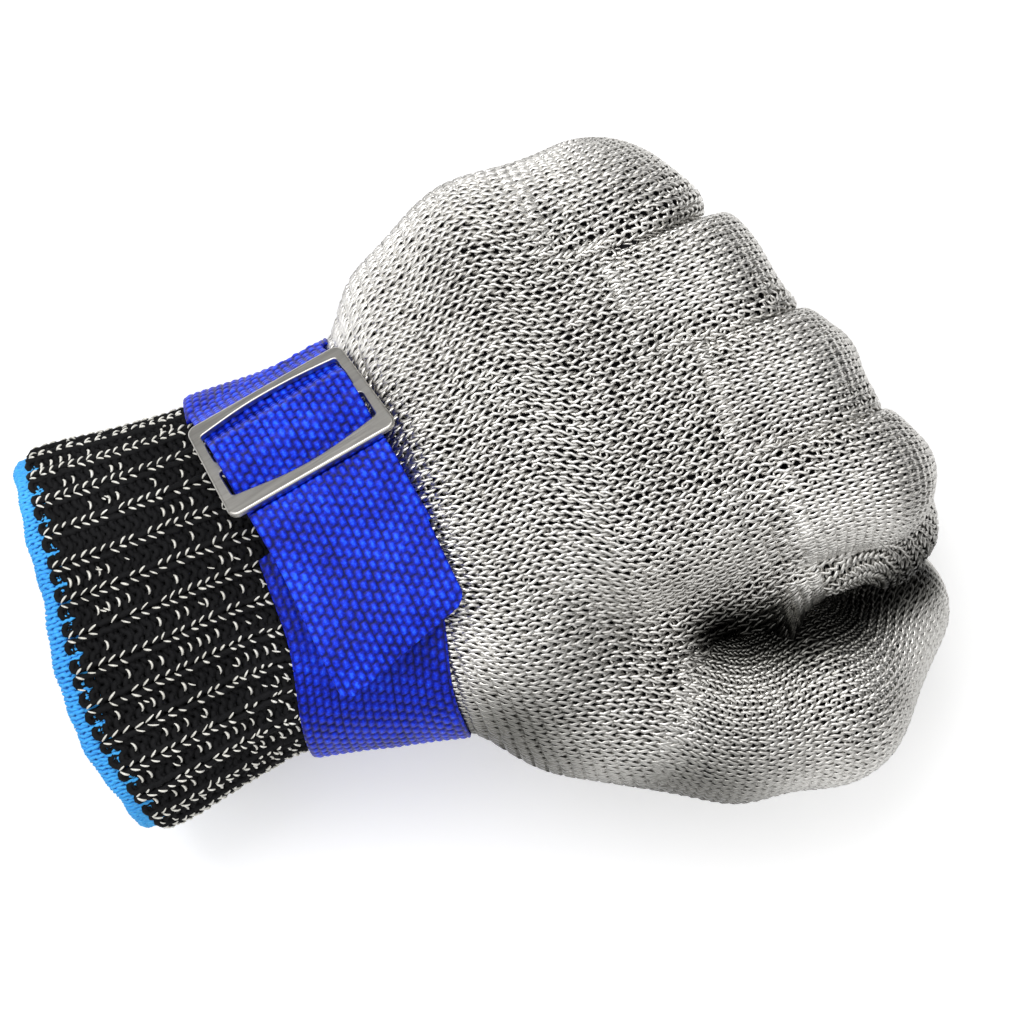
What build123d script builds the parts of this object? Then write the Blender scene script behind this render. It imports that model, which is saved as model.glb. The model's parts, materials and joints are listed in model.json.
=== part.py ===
from build123d import *
import os
from math import atan2, cos, degrees, dist, pi, radians, sin, sqrt

# Protective glove for cutting work, left hand, worn as a closed fist: knitted steel
# over a textile liner, rib-knit cuff with a lining, webbing wrist strap and a flat
# three-bar slider.
# Hand frame (mm): X from the wrist to the knuckles, Y to the little finger, Z out of
# the back of the hand.  The last step moves every piece to the row frame: origin in the
# middle of the cuff opening, pitched so that cuff and curled fingers rest on a level floor.

os.makedirs("parts", exist_ok=True)

# ------------------------------------------------------------------ dimensions
# wrist and palm: x, centre y, centre z, half width, half height, squareness
OUTLINE = [
    (-4.0, -0.3, 0.0, 35.0, 22.6, 2.15),
    (0.0, -0.3, 0.1, 35.0, 22.6, 2.15),
    (15.0, 0.3, 1.2, 32.8, 22.0, 2.2),
    (26.0, 0.8, 2.3, 31.6, 21.4, 2.25),
    (35.0, 0.0, 3.3, 32.1, 21.0, 2.3),
    (42.0, -0.9, 4.2, 32.8, 20.6, 2.3),
    (53.0, -1.5, 5.8, 34.6, 20.2, 2.35),
    (62.0, 0.0, 8.0, 43.0, 18.4, 2.45),
    (82.0, 3.5, 10.9, 47.4, 15.4, 2.6),
    (104.0, 6.2, 12.1, 46.6, 15.2, 2.7),
    (118.0, 7.8, 12.3, 43.6, 15.4, 2.7),
    (134.0, 8.5, 12.3, 42.0, 15.6, 2.7),
    (150.0, 8.5, 12.3, 41.6, 15.6, 2.7),
]
# x of the sections that every loft shares, and how far past a sleeve's ends they are used
STATIONS = [
    -9.0, -4.0, 2.0, 8.0, 15.0, 22.0, 29.0, 36.0, 42.0, 48.0,
    53.0, 57.0, 62.0, 69.0, 78.0, 90.0, 104.0, 118.0, 134.0, 152.0,
]
STATION_REACH = 16.0
SECTION_POINTS = 22

TILT = 6.7                  # nose-up pitch of the resting glove, degrees
OPENING = OUTLINE[0][:3]    # middle of the cuff opening

MESH_T = 1.0                # knitted steel, palm and back
LINER_T = 0.7               # textile liner, palm and back
SKIN_GAP = 0.25
CUFF_T = 2.1                # rib knit
LINING_T = 0.9
CUFF_END = 44.0             # x where the rib cuff meets the steel mesh
HEM_INSET = 0.9             # hem's outer face, inside the outline
PALM_START = CUFF_END + 0.15
PALM_END = 146.0

STALL_T = 0.8               # knitted steel, fingers
STALL_LINER_T = 0.45
STALL_GAP = 0.1

# fingers: knuckle, splay in degrees, phalanx lengths, (start, end) radii of the stalls
FINGERS = {
    "index": ((134.0, -19.5, 14.0), -2.0, (41, 25, 16), ((9.3, 10.1), (8.6, 9.2), (7.7, 7.5))),
    "middle": ((127.5, 1.0, 16.0), 0.0, (44, 28, 17), ((9.3, 10.1), (8.6, 9.2), (7.7, 7.5))),
    "ring": ((118.0, 21.5, 14.0), 2.0, (41, 27, 17), ((9.0, 9.7), (8.2, 8.8), (7.3, 7.0))),
    "little": ((107.5, 40.0, 9.0), 4.0, (33, 20, 15), ((8.0, 8.5), (7.0, 7.6), (6.1, 6.0))),
}
FINGER_BENDS = (86, 98, 46)     # bend at rest of the three joints, degrees
FIST_SIDES = (-70.0, 80.0)      # y beyond the outer fingers

THUMB_BASE = (72.0, -32.4, 1.8)
THUMB_MCP = (98.0, -51.5, -4.0)     # first joint
THUMB_IP = (123.0, -52.0, -11.0)    # second joint
THUMB_TIP = (133.5, -43.0, -17.0)
THUMB_BASE_R = (16.2, 15.6)
THUMB_STALL_R = ((13.2, 12.6), (10.9, 9.8))
THUMB_BACK = (0, -1, 0)             # outer side of the thumb's bends
THUMB_ROOM = 0.5                    # between the palm and the thumb's first stall

# wrist strap
WEB_T = 1.05
WEB_W = 25.4
SEWN_W = 25.6
WEB_LIFT = 0.5              # gap between the cuff and the first layer
LAYER_GAP = 0.25
LOOP_X = (27.6, 54.2)

# heights of the webbing's layers over the outline
LOOP_OUTER = WEB_LIFT + WEB_T
FIRST_LAYER = WEB_LIFT + WEB_T / 2
SECOND_LAYER = LOOP_OUTER + LAYER_GAP + WEB_T / 2
THIRD_LAYER = SECOND_LAYER + WEB_T + LAYER_GAP

# three-bar slider; its own frame has X along the bars, Y across them, Z out of the plate
SLIDER_T = 1.3
SLIDER_TILT = 32.0
SLIDER_TURN = 12.0
SLIDER_XY = (44.1, 21.2)
BAR_HALF = 1.0              # half width of the middle bar
FRAME_CORNERS = [(-15.6, -10.0), (15.6, -10.0), (14.6, 9.8), (-14.6, 9.8)]
FRAME_CORNER_R = 1.7
FRAME_EDGE_R = 0.42
SLOT_CORNER_R = 0.6
SLOT_EDGE_R = 0.25
# outer edges of the two windows
UPPER_SLOT = [
    (-13.0, 7.1), (-8.5, 7.7), (-4.0, 8.15), (0.0, 8.25),
    (4.0, 8.15), (8.5, 7.85), (12.9, 7.4),
]
LOWER_SLOT = [
    (-13.4, -6.2), (-8.5, -7.0), (-4.0, -7.65), (0.0, -7.85),
    (4.0, -7.7), (8.5, -7.15), (13.4, -6.4),
]
# x across the webbing where the wrist's height is taken
WEB_SAMPLES = (-12.8, -6.4, 0.0, 6.4, 12.8)
# slider y, height that the cuff must stay under there
SLIDER_LIMITS = ((-9.9, -4.65), (-4.6, -4.45), (0.0, -2.3))

# webbing paths in the slider's YZ plane
UNDER_Z = -1.325            # threaded webbing under the outer bars
OVER_Z = 2.7                # threaded webbing over the middle bar
TURN_Y = 1.1                # centre of the sewn end's turn round the middle bar
TURN_R = 0.82 + WEB_T / 2   # room inside the turn, plus half the webbing
LEAD_END = 17.0             # y where the lead-in meets the loop
END_GAP = 0.45              # between the lead-in and the loop

STITCH_Y = (-13.2, -16.6, -20.0)
STITCH_SIZE = (23.0, 0.7, 0.07)
STITCH_GAP = 0.1
TACK_Y = (-16.0, 14.0)
TACK_OFFSETS = (0.40, 0.05)     # outer and inner face of the tacks, over the loop


# ------------------------------------------------------------------ vectors
def unit(v):
    size = sqrt(sum(c * c for c in v))
    return tuple(c / size for c in v)


def add(p, v, scale=1.0):
    return tuple(a + scale * b for a, b in zip(p, v))


def sub(a, b):
    return tuple(p - q for p, q in zip(a, b))


def cross(a, b):
    return (
        a[1] * b[2] - a[2] * b[1],
        a[2] * b[0] - a[0] * b[2],
        a[0] * b[1] - a[1] * b[0],
    )


def seat(origin, forward, back):
    """Location with X along forward and Z towards back, the outer side of a bend."""
    x_dir = unit(forward)
    y_dir = unit(cross(back, x_dir))
    z_dir = cross(x_dir, y_dir)
    return Plane(origin=Vector(*origin), x_dir=Vector(*x_dir), z_dir=Vector(*z_dir)).location


def largest(shape):
    return max(shape.solids(), key=lambda s: s.volume)


# ------------------------------------------------------------------ wrist and palm outline
def monotone_cubic(xs, ys, x):
    """Value at x of the monotone cubic through the points, held level past the ends."""
    count = len(xs)
    if x <= xs[0]:
        return ys[0]
    if x >= xs[-1]:
        return ys[-1]
    steps = [xs[i + 1] - xs[i] for i in range(count - 1)]
    slopes = [(ys[i + 1] - ys[i]) / steps[i] for i in range(count - 1)]
    tangents = [slopes[0]] + [0.0] * (count - 2) + [slopes[-1]]
    for i in range(1, count - 1):
        if slopes[i - 1] * slopes[i] > 0:
            before = 2 * steps[i] + steps[i - 1]
            after = steps[i] + 2 * steps[i - 1]
            tangents[i] = (before + after) / (before / slopes[i - 1] + after / slopes[i])
    i = max(k for k in range(count - 1) if xs[k] <= x)
    t = (x - xs[i]) / steps[i]
    return (
        (1 + 2 * t) * (1 - t) ** 2 * ys[i]
        + t * (1 - t) ** 2 * steps[i] * tangents[i]
        + t * t * (3 - 2 * t) * ys[i + 1]
        + t * t * (t - 1) * steps[i] * tangents[i + 1]
    )


OUTLINE_X, *OUTLINE_COLUMNS = zip(*OUTLINE)


def outline(x):
    return tuple(monotone_cubic(OUTLINE_X, column, x) for column in OUTLINE_COLUMNS)


def section(x, offset):
    """Closed outline wire at x, moved out by offset."""
    y_mid, z_mid, half_y, half_z, power = outline(x)
    points = []
    for k in range(SECTION_POINTS):
        angle = 2 * pi * k / SECTION_POINTS
        c, s = cos(angle), sin(angle)
        r = (abs(c) ** power + abs(s) ** power) ** (-1 / power)
        y = y_mid + (half_y + offset) * r * c
        z = z_mid + (half_z + offset) * r * s
        points.append(Vector(x, y, z))
    return Wire([Edge.make_spline(points, periodic=True)])


def sleeve_solid(x0, x1, offset):
    """Solid inside the outline; shared stations keep nested skins at their distance."""
    near = [x for x in STATIONS if x0 - STATION_REACH <= x <= x1 + STATION_REACH]
    return Solid.make_loft([section(x, offset) for x in near], False)


def sleeve(x0, x1, outer, inner):
    """Hollow sleeve between x0 and x1, from offset inner to offset outer."""
    slab = Pos((x0 + x1) / 2, 0, 0) * Box(x1 - x0, 400, 400)
    return (sleeve_solid(x0, x1, outer) - sleeve_solid(x0, x1, inner)) & slab


# ------------------------------------------------------------------ finger stalls
def capsule(r0, r1, length, closed):
    """Solid of revolution about X: round start, cone, round (closed) or flat end."""
    with BuildPart() as part:
        with BuildSketch(Plane.XZ):
            with BuildLine():
                CenterArc((0, 0), r0, 90, 90)
                Line((0, r0), (length, r1))
                if closed:
                    CenterArc((length, 0), r1, 0, 90)
                    Line((length + r1, 0), (-r0, 0))
                else:
                    Line((length, r1), (length, 0))
                    Line((length, 0), (-r0, 0))
            make_face()
        revolve(axis=Axis.X)
    return part.part


def prism(points, y0=-60.0, y1=60.0):
    """Prism from y0 to y1 over a polygon of (x, z) points."""
    face = Face(Wire.make_polygon([Vector(x, y0, z) for x, z in points], close=True))
    return Solid.extrude(face, Vector(0, y1 - y0, 0))


def mitre(bend, margin=1.0):
    """Half the angle inside a joint, less a margin, in radians."""
    return radians((180 - bend) / 2 - margin)


def stall(radii, length, depth, thick, bend_in, bend_out, closed):
    """One hollow length of a stall, its outer face depth inside the stall's radii.
    The inner side of each bend is cut back so that neighbours never meet; a knuckle
    cap stays on the outer side."""
    r0, r1 = (r - depth for r in radii)
    inner = capsule(r0 - thick, r1 - thick, length, closed)
    if not closed:
        inner = inner + Pos(length, 0, 0) * Rot(0, 90, 0) * Cylinder(r1 - thick, 4)
    shell = capsule(r0, r1, length, closed) - inner
    far = 90.0
    cut = mitre(bend_in)
    cap_lap = radians(14.0)
    shell = shell - prism([
        (0, 0),
        (far * cos(cut), -far * sin(cut)),
        (-far, -far * 1.2),
        (-far, -far * sin(cap_lap)),
    ])
    if not closed:
        cut = mitre(bend_out)
        shell = shell - prism([
            (length, 0),
            (length - far * cos(cut), -far * sin(cut)),
            (length + 40, -far * 1.2),
            (length + 40, 0),
        ])
    return largest(shell)


def digit(name, pivots, radii, bends, backs, labels):
    """Mesh and liner stalls of one digit, by part name."""
    stalls = {}
    for i, label in enumerate(labels):
        start, end = pivots[i], pivots[i + 1]
        length = dist(start, end)
        closed = i == len(labels) - 1
        bend_out = 0 if closed else bends[i + 1]
        place = seat(start, sub(end, start), backs[i])
        for layer, depth, thick in (
            ("mesh", 0.0, STALL_T),
            ("liner", STALL_T + STALL_GAP, STALL_LINER_T),
        ):
            piece = stall(radii[i], length, depth, thick, bends[i], bend_out, closed)
            stalls[f"{name}_{layer}_{label}"] = place * piece
    return stalls


def finger(name):
    knuckle, splay, lengths, radii = FINGERS[name]
    ahead_x, ahead_y = cos(radians(splay)), sin(radians(splay))
    pivots, backs, curl = [knuckle], [], 0.0
    for length, bend in zip(lengths, FINGER_BENDS):
        curl += radians(bend)
        along = (cos(curl) * ahead_x, cos(curl) * ahead_y, -sin(curl))
        backs.append((sin(curl) * ahead_x, sin(curl) * ahead_y, cos(curl)))
        pivots.append(add(pivots[-1], along, length))
    return digit(name, pivots, radii, FINGER_BENDS, backs, ("proximal", "middle", "tip"))


def bend_between(a, b):
    """Bend about Z, in degrees, from direction a to direction b."""
    return degrees(atan2(b[1], b[0]) - atan2(a[1], a[0]))


THUMB_BASE_DIR = sub(THUMB_MCP, THUMB_BASE)
THUMB_FIRST_DIR = sub(THUMB_IP, THUMB_MCP)
THUMB_LAST_DIR = sub(THUMB_TIP, THUMB_IP)
THUMB_BENDS = (
    bend_between(THUMB_BASE_DIR, THUMB_FIRST_DIR),
    bend_between(THUMB_FIRST_DIR, THUMB_LAST_DIR),
)


def thumb():
    pivots = [THUMB_MCP, THUMB_IP, THUMB_TIP]
    backs = [THUMB_BACK, THUMB_BACK]
    return digit("thumb", pivots, THUMB_STALL_R, THUMB_BENDS, backs, ("proximal", "tip"))


# ------------------------------------------------------------------ palm and back
def thumb_core(offset, extra=0):
    """Solid of the thumb base, moved out by offset and run on by extra."""
    r0, r1 = THUMB_BASE_R
    length = dist(THUMB_BASE, THUMB_MCP)
    grow = (r1 - r0) / length * extra
    core = capsule(r0 + offset, r1 + offset + grow, length + extra, False)
    return seat(THUMB_BASE, THUMB_BASE_DIR, THUMB_BACK) * core


def thumb_mitre():
    """What lies past the thumb's first joint, on the inside of the bend."""
    cut = mitre(THUMB_BENDS[0])
    corners = [(0, 0), (-30 * cos(cut), -30 * sin(cut)), (40, -36), (40, 0)]
    return seat(THUMB_MCP, THUMB_BASE_DIR, THUMB_BACK) * prism(corners, -40, 40)


def thumb_clearance():
    """Room for the thumb's first stall in the side of the palm."""
    r0, r1 = THUMB_STALL_R[0]
    length = dist(THUMB_MCP, THUMB_IP) + 4
    room = capsule(r0 + THUMB_ROOM, r1 + THUMB_ROOM, length, False)
    return seat(THUMB_MCP, THUMB_FIRST_DIR, THUMB_BACK) * room


def knuckle_cut():
    """What lies past the knuckles: one slab per finger, split midway between knuckles."""
    knuckles = [row[0] for row in FINGERS.values()]
    splits = [(a[1] + b[1]) / 2 for a, b in zip(knuckles, knuckles[1:])]
    sides = [FIST_SIDES[0], *splits, FIST_SIDES[1]]
    angle = mitre(FINGER_BENDS[0], 1.5)
    cut = None
    for (x, _, z), y0, y1 in zip(knuckles, sides, sides[1:]):
        low = z - 60 * sin(angle)
        corners = [
            (x, z), (x - 60 * cos(angle), low), (x + 80, low), (x + 80, z + 60), (x, z + 60),
        ]
        slab = prism(corners, y0, y1)
        cut = slab if cut is None else cut + slab
    return cut


def palm_skin(outer, inner):
    """Skin of palm, back and thumb base between two offsets from the outline."""
    body = sleeve_solid(PALM_START, PALM_END, outer) - thumb_clearance()
    body = body + (thumb_core(outer) - thumb_mitre())
    hollow = sleeve_solid(PALM_START, PALM_END, inner)
    skin = body - hollow - thumb_core(inner, extra=6) - knuckle_cut()
    skin = skin & (Pos(PALM_START + 100, 0, 0) * Box(200, 400, 400))
    return largest(skin)


def hand():
    liner_outer = -MESH_T - SKIN_GAP
    return {
        "hand_mesh": palm_skin(0.0, -MESH_T),
        "hand_liner": palm_skin(liner_outer, liner_outer - LINER_T),
    }


def cuff():
    lining_outer = -CUFF_T - SKIN_GAP
    lining_inner = lining_outer - LINING_T
    return {
        "rib_cuff": largest(sleeve(0.0, CUFF_END, 0.0, -CUFF_T)),
        "cuff_lining": largest(sleeve(0.1, CUFF_END, lining_outer, lining_inner)),
        "cuff_hem": largest(sleeve(OPENING[0], -0.1, -HEM_INSET, lining_inner)),
    }


# ------------------------------------------------------------------ slider
SIN_TILT, COS_TILT = sin(radians(SLIDER_TILT)), cos(radians(SLIDER_TILT))
SIN_TURN, COS_TURN = sin(radians(SLIDER_TURN)), cos(radians(SLIDER_TURN))
SLIDER_X_DIR = (COS_TURN, SIN_TURN * COS_TILT, -SIN_TURN * SIN_TILT)
SLIDER_Y_DIR = (-SIN_TURN, COS_TURN * COS_TILT, -COS_TURN * SIN_TILT)
SLIDER_Z_DIR = (0.0, SIN_TILT, COS_TILT)


def inside(point, offset):
    y_mid, z_mid, half_y, half_z, power = outline(point[0])
    y_part = (abs(point[1] - y_mid) / (half_y + offset)) ** power
    z_part = (abs(point[2] - z_mid) / (half_z + offset)) ** power
    return y_part + z_part < 1


def surface_height(origin, x, y, offset):
    """Height over the slider's plane of the outline moved out by offset, by bisection."""
    base = add(add(origin, SLIDER_X_DIR, x), SLIDER_Y_DIR, y)
    low, high = -34.0, 25.0
    for _ in range(40):
        middle = (low + high) / 2
        if inside(add(base, SLIDER_Z_DIR, middle), offset):
            low = middle
        else:
            high = middle
    return low


def highest(origin, y, offset):
    """Highest point of the surface across the webbing's width."""
    return max(surface_height(origin, x, y, offset) for x in WEB_SAMPLES)


def slider_centre():
    """Lowest place where every layer of webbing under the slider clears the cuff."""
    z = 20.0
    while not all(highest((*SLIDER_XY, z), y, 0.0) < limit for y, limit in SLIDER_LIMITS):
        z += 0.05
    return (*SLIDER_XY, z)


SLIDER_CENTRE = slider_centre()
SLIDER_PLACE = Plane(
    origin=Vector(*SLIDER_CENTRE), x_dir=Vector(*SLIDER_X_DIR), z_dir=Vector(*SLIDER_Z_DIR)
).location


def slot(outer_edge):
    """Window beside the middle bar: rounded corners, gently bowed outer edge."""
    start, end = outer_edge[0], outer_edge[-1]
    bar_y = BAR_HALF if start[1] > 0 else -BAR_HALF
    with BuildPart() as part:
        with BuildSketch(Plane.XY.offset(-3)):
            with BuildLine():
                Spline(*outer_edge)
                Line(end, (end[0], bar_y))
                Line((end[0], bar_y), (start[0], bar_y))
                Line((start[0], bar_y), start)
            make_face()
            fillet(vertices(), SLOT_CORNER_R)
        extrude(amount=6)
    return part.part


def on_face(edge):
    """True for an edge that lies on the plate's upper or lower face."""
    return abs(abs(edge.center().Z) - SLIDER_T / 2) < 1e-3


def buckle_frame():
    with BuildPart() as plate:
        with BuildSketch(Plane.XY.offset(-SLIDER_T / 2)):
            with BuildLine():
                Polyline(*FRAME_CORNERS, close=True)
            make_face()
            fillet(vertices(), FRAME_CORNER_R)
        extrude(amount=SLIDER_T)
    body = plate.part
    body = fillet(body.edges().filter_by(on_face), FRAME_EDGE_R)
    body = body - slot(UPPER_SLOT) - slot(LOWER_SLOT)
    # the slots keep sharp edges if the kernel can't round them
    try:
        rim = [
            e for e in body.edges()
            if on_face(e) and abs(e.center().X) < 14 and abs(e.center().Y) < 8
        ]
        body = fillet(rim, SLOT_EDGE_R)
    except Exception:
        pass
    return SLIDER_PLACE * largest(body)


# ------------------------------------------------------------------ webbing
def rounded(points, radius):
    """Polyline of (y, z) points with its corners replaced by arcs."""
    path = [points[0]]
    for before, corner, after in zip(points, points[1:], points[2:]):
        a, b = unit(sub(before, corner)), unit(sub(after, corner))
        dot = max(-1.0, min(1.0, a[0] * b[0] + a[1] * b[1]))
        if dot < -0.9995:       # nearly straight
            path.append(corner)
            continue
        back = radius / (sqrt((1 - dot) / 2) / sqrt((1 + dot) / 2))
        start, end = add(corner, a, back), add(corner, b, back)
        centre = add(corner, unit(add(a, b)), sqrt(radius * radius + back * back))
        angle0 = atan2(start[1] - centre[1], start[0] - centre[0])
        angle1 = atan2(end[1] - centre[1], end[0] - centre[0])
        sweep_angle = (angle1 - angle0 + pi) % (2 * pi) - pi
        for k in range(9):
            t = angle0 + sweep_angle * k / 8
            path.append((centre[0] + radius * cos(t), centre[1] + radius * sin(t)))
    path.append(points[-1])
    return path


def evenly_spaced(points, step=0.45):
    """The same path with evenly spaced points."""
    lengths = [0.0]
    for p, q in zip(points, points[1:]):
        lengths.append(lengths[-1] + dist(p, q))
    count = int(lengths[-1] / step)
    path, i = [], 0
    for k in range(count + 1):
        t = lengths[-1] * k / count
        while i < len(points) - 2 and lengths[i + 1] < t:
            i += 1
        span = lengths[i + 1] - lengths[i]
        share = (t - lengths[i]) / span if span > 1e-9 else 0.0
        path.append(add(points[i], sub(points[i + 1], points[i]), share))
    return path


def ribbon(points, width):
    """Flat webbing along a path in the slider's YZ plane, put in its place."""
    points = evenly_spaced(points)
    upper, lower = [], []
    for i, (y, z) in enumerate(points):
        before, after = points[max(0, i - 1)], points[min(len(points) - 1, i + 1)]
        along = unit(sub(after, before))
        dy, dz = -along[1] * WEB_T / 2, along[0] * WEB_T / 2
        upper.append(Vector(-width / 2, y + dy, z + dz))
        lower.append(Vector(-width / 2, y - dy, z - dz))
    face = Face(Wire([
        Edge.make_spline(upper),
        Edge.make_line(upper[-1], lower[-1]),
        Edge.make_spline(lower),
        Edge.make_line(lower[0], upper[0]),
    ]))
    return SLIDER_PLACE * Solid.extrude(face, Vector(width, 0, 0))


def over_wrist(y, offset):
    """Slider height of a layer lying offset over the wrist at slider y."""
    return highest(SLIDER_CENTRE, y, offset)


def wrist_slope(y, offset):
    return atan2(over_wrist(y + 0.5, offset) - over_wrist(y - 0.5, offset), 1.0)


def strap_threaded():
    """Under the outer bars and over the middle one."""
    path = [
        (9.7, UNDER_Z), (6.7, UNDER_Z), (2.8, OVER_Z),
        (-2.3, OVER_Z), (-6.0, UNDER_Z), (-9.8, UNDER_Z),
    ]
    return ribbon(rounded(path, 1.0), WEB_W)


def strap_sewn_end():
    """Lower layer, turn round the middle bar, upper layer, sewn down behind the slider."""
    lower = rounded([
        (-11.3, over_wrist(-11.3, FIRST_LAYER)),
        (-9.6, over_wrist(-9.6, FIRST_LAYER + 0.05)),
        (-4.5, -3.75),
        (-0.6, -TURN_R),
        (TURN_Y, -TURN_R),
    ], 0.9)
    turn = [
        (TURN_Y + TURN_R * cos(radians(a)), TURN_R * sin(radians(a)))
        for a in range(-80, 81, 10)
    ]
    sewn_y = (-12.0, -13.5, -15.0, -16.5, -18.0, -19.5, -21.0, -22.0)
    sewn = [(y, over_wrist(y, SECOND_LAYER)) for y in sewn_y]
    upper = rounded([
        (TURN_Y, TURN_R),
        (-1.3, TURN_R),
        (-4.8, -2.575),
        (-9.9, over_wrist(-9.9, SECOND_LAYER) + 0.2),
        sewn[0],
    ], 0.9)
    return ribbon(lower + turn + upper + sewn[1:], SEWN_W)


def sewn_end_stitching():
    """Three stitch rows across the sewn end's upper layer."""
    rows = []
    for y in STITCH_Y:
        slope = wrist_slope(y, SECOND_LAYER)
        lift = (WEB_T / 2 + STITCH_SIZE[2] / 2 + STITCH_GAP) / cos(slope)
        z = over_wrist(y, SECOND_LAYER) + lift
        rows.append(Pos(0, y, z) * Rot(degrees(slope), 0, 0) * Box(*STITCH_SIZE))
    return SLIDER_PLACE * Compound(children=rows)


def strap_tail():
    """Free tail over the sewn end and the back of the wrist."""
    start = [
        (-10.2, UNDER_Z), (-12.5, -1.9), (-21.0, over_wrist(-21.0, THIRD_LAYER) + 0.1),
    ]
    end_y = (-22.5, -24.0, -26.0, -28.0, -30.0, -32.0, -34.0, -36.0, -38.0)
    end = [(y, over_wrist(y, THIRD_LAYER)) for y in end_y]
    return ribbon(rounded(start, 4.0) + end, WEB_W)


def strap_lead_in():
    """Webbing between the loop and the slider's upper bar, drawn tight."""
    path = [
        (10.05, UNDER_Z),
        (11.2, -2.0),
        (14.0, max(-4.9, over_wrist(14.0, FIRST_LAYER))),
        (LEAD_END, over_wrist(LEAD_END, FIRST_LAYER)),
    ]
    return ribbon(rounded(path, 1.5), WEB_W)


def strap_loop():
    """Loop round the wrist, open under the slider and square to the lead-in's end."""
    slope = wrist_slope(LEAD_END, WEB_LIFT)
    end_y = LEAD_END + END_GAP * cos(slope)
    end_z = over_wrist(LEAD_END, FIRST_LAYER) + END_GAP * sin(slope)
    past_end = Pos(0, end_y, end_z) * Rot(degrees(slope), 0, 0) * Pos(0, 20, 0)
    opening = SLIDER_PLACE * (
        Pos(0, 4.25, 6) * Box(90, 31.5, 44) - past_end * Box(100, 40, 80)
    )
    return largest(sleeve(*LOOP_X, LOOP_OUTER, WEB_LIFT) - opening)


def strap_tacks():
    """Two narrow bar tacks lying over the loop on the palm side."""
    outer, inner = (LOOP_OUTER + offset for offset in TACK_OFFSETS)
    ring = sleeve(*LOOP_X, outer, inner)
    tacks = [largest(ring & (Pos(41.0, y, -30.0) * Box(18.0, 1.8, 40.0))) for y in TACK_Y]
    return Compound(children=tacks)


# ------------------------------------------------------------------ all pieces
parts = {}
for finger_name in FINGERS:
    parts.update(finger(finger_name))
parts.update(thumb())
parts.update(hand())
parts.update(cuff())
for build in (
    buckle_frame, strap_threaded, strap_sewn_end, sewn_end_stitching,
    strap_tail, strap_lead_in, strap_loop, strap_tacks,
):
    parts[build.__name__] = build()

TO_ROW = Rot(0, -TILT, 0) * Pos(*(-c for c in OPENING))
for name, shape in parts.items():
    solids = (TO_ROW * shape).solids()
    placed = solids[0] if len(solids) == 1 else Compound(children=list(solids))
    placed.label = name
    export_step(placed, f"parts/{name}.step")
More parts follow.
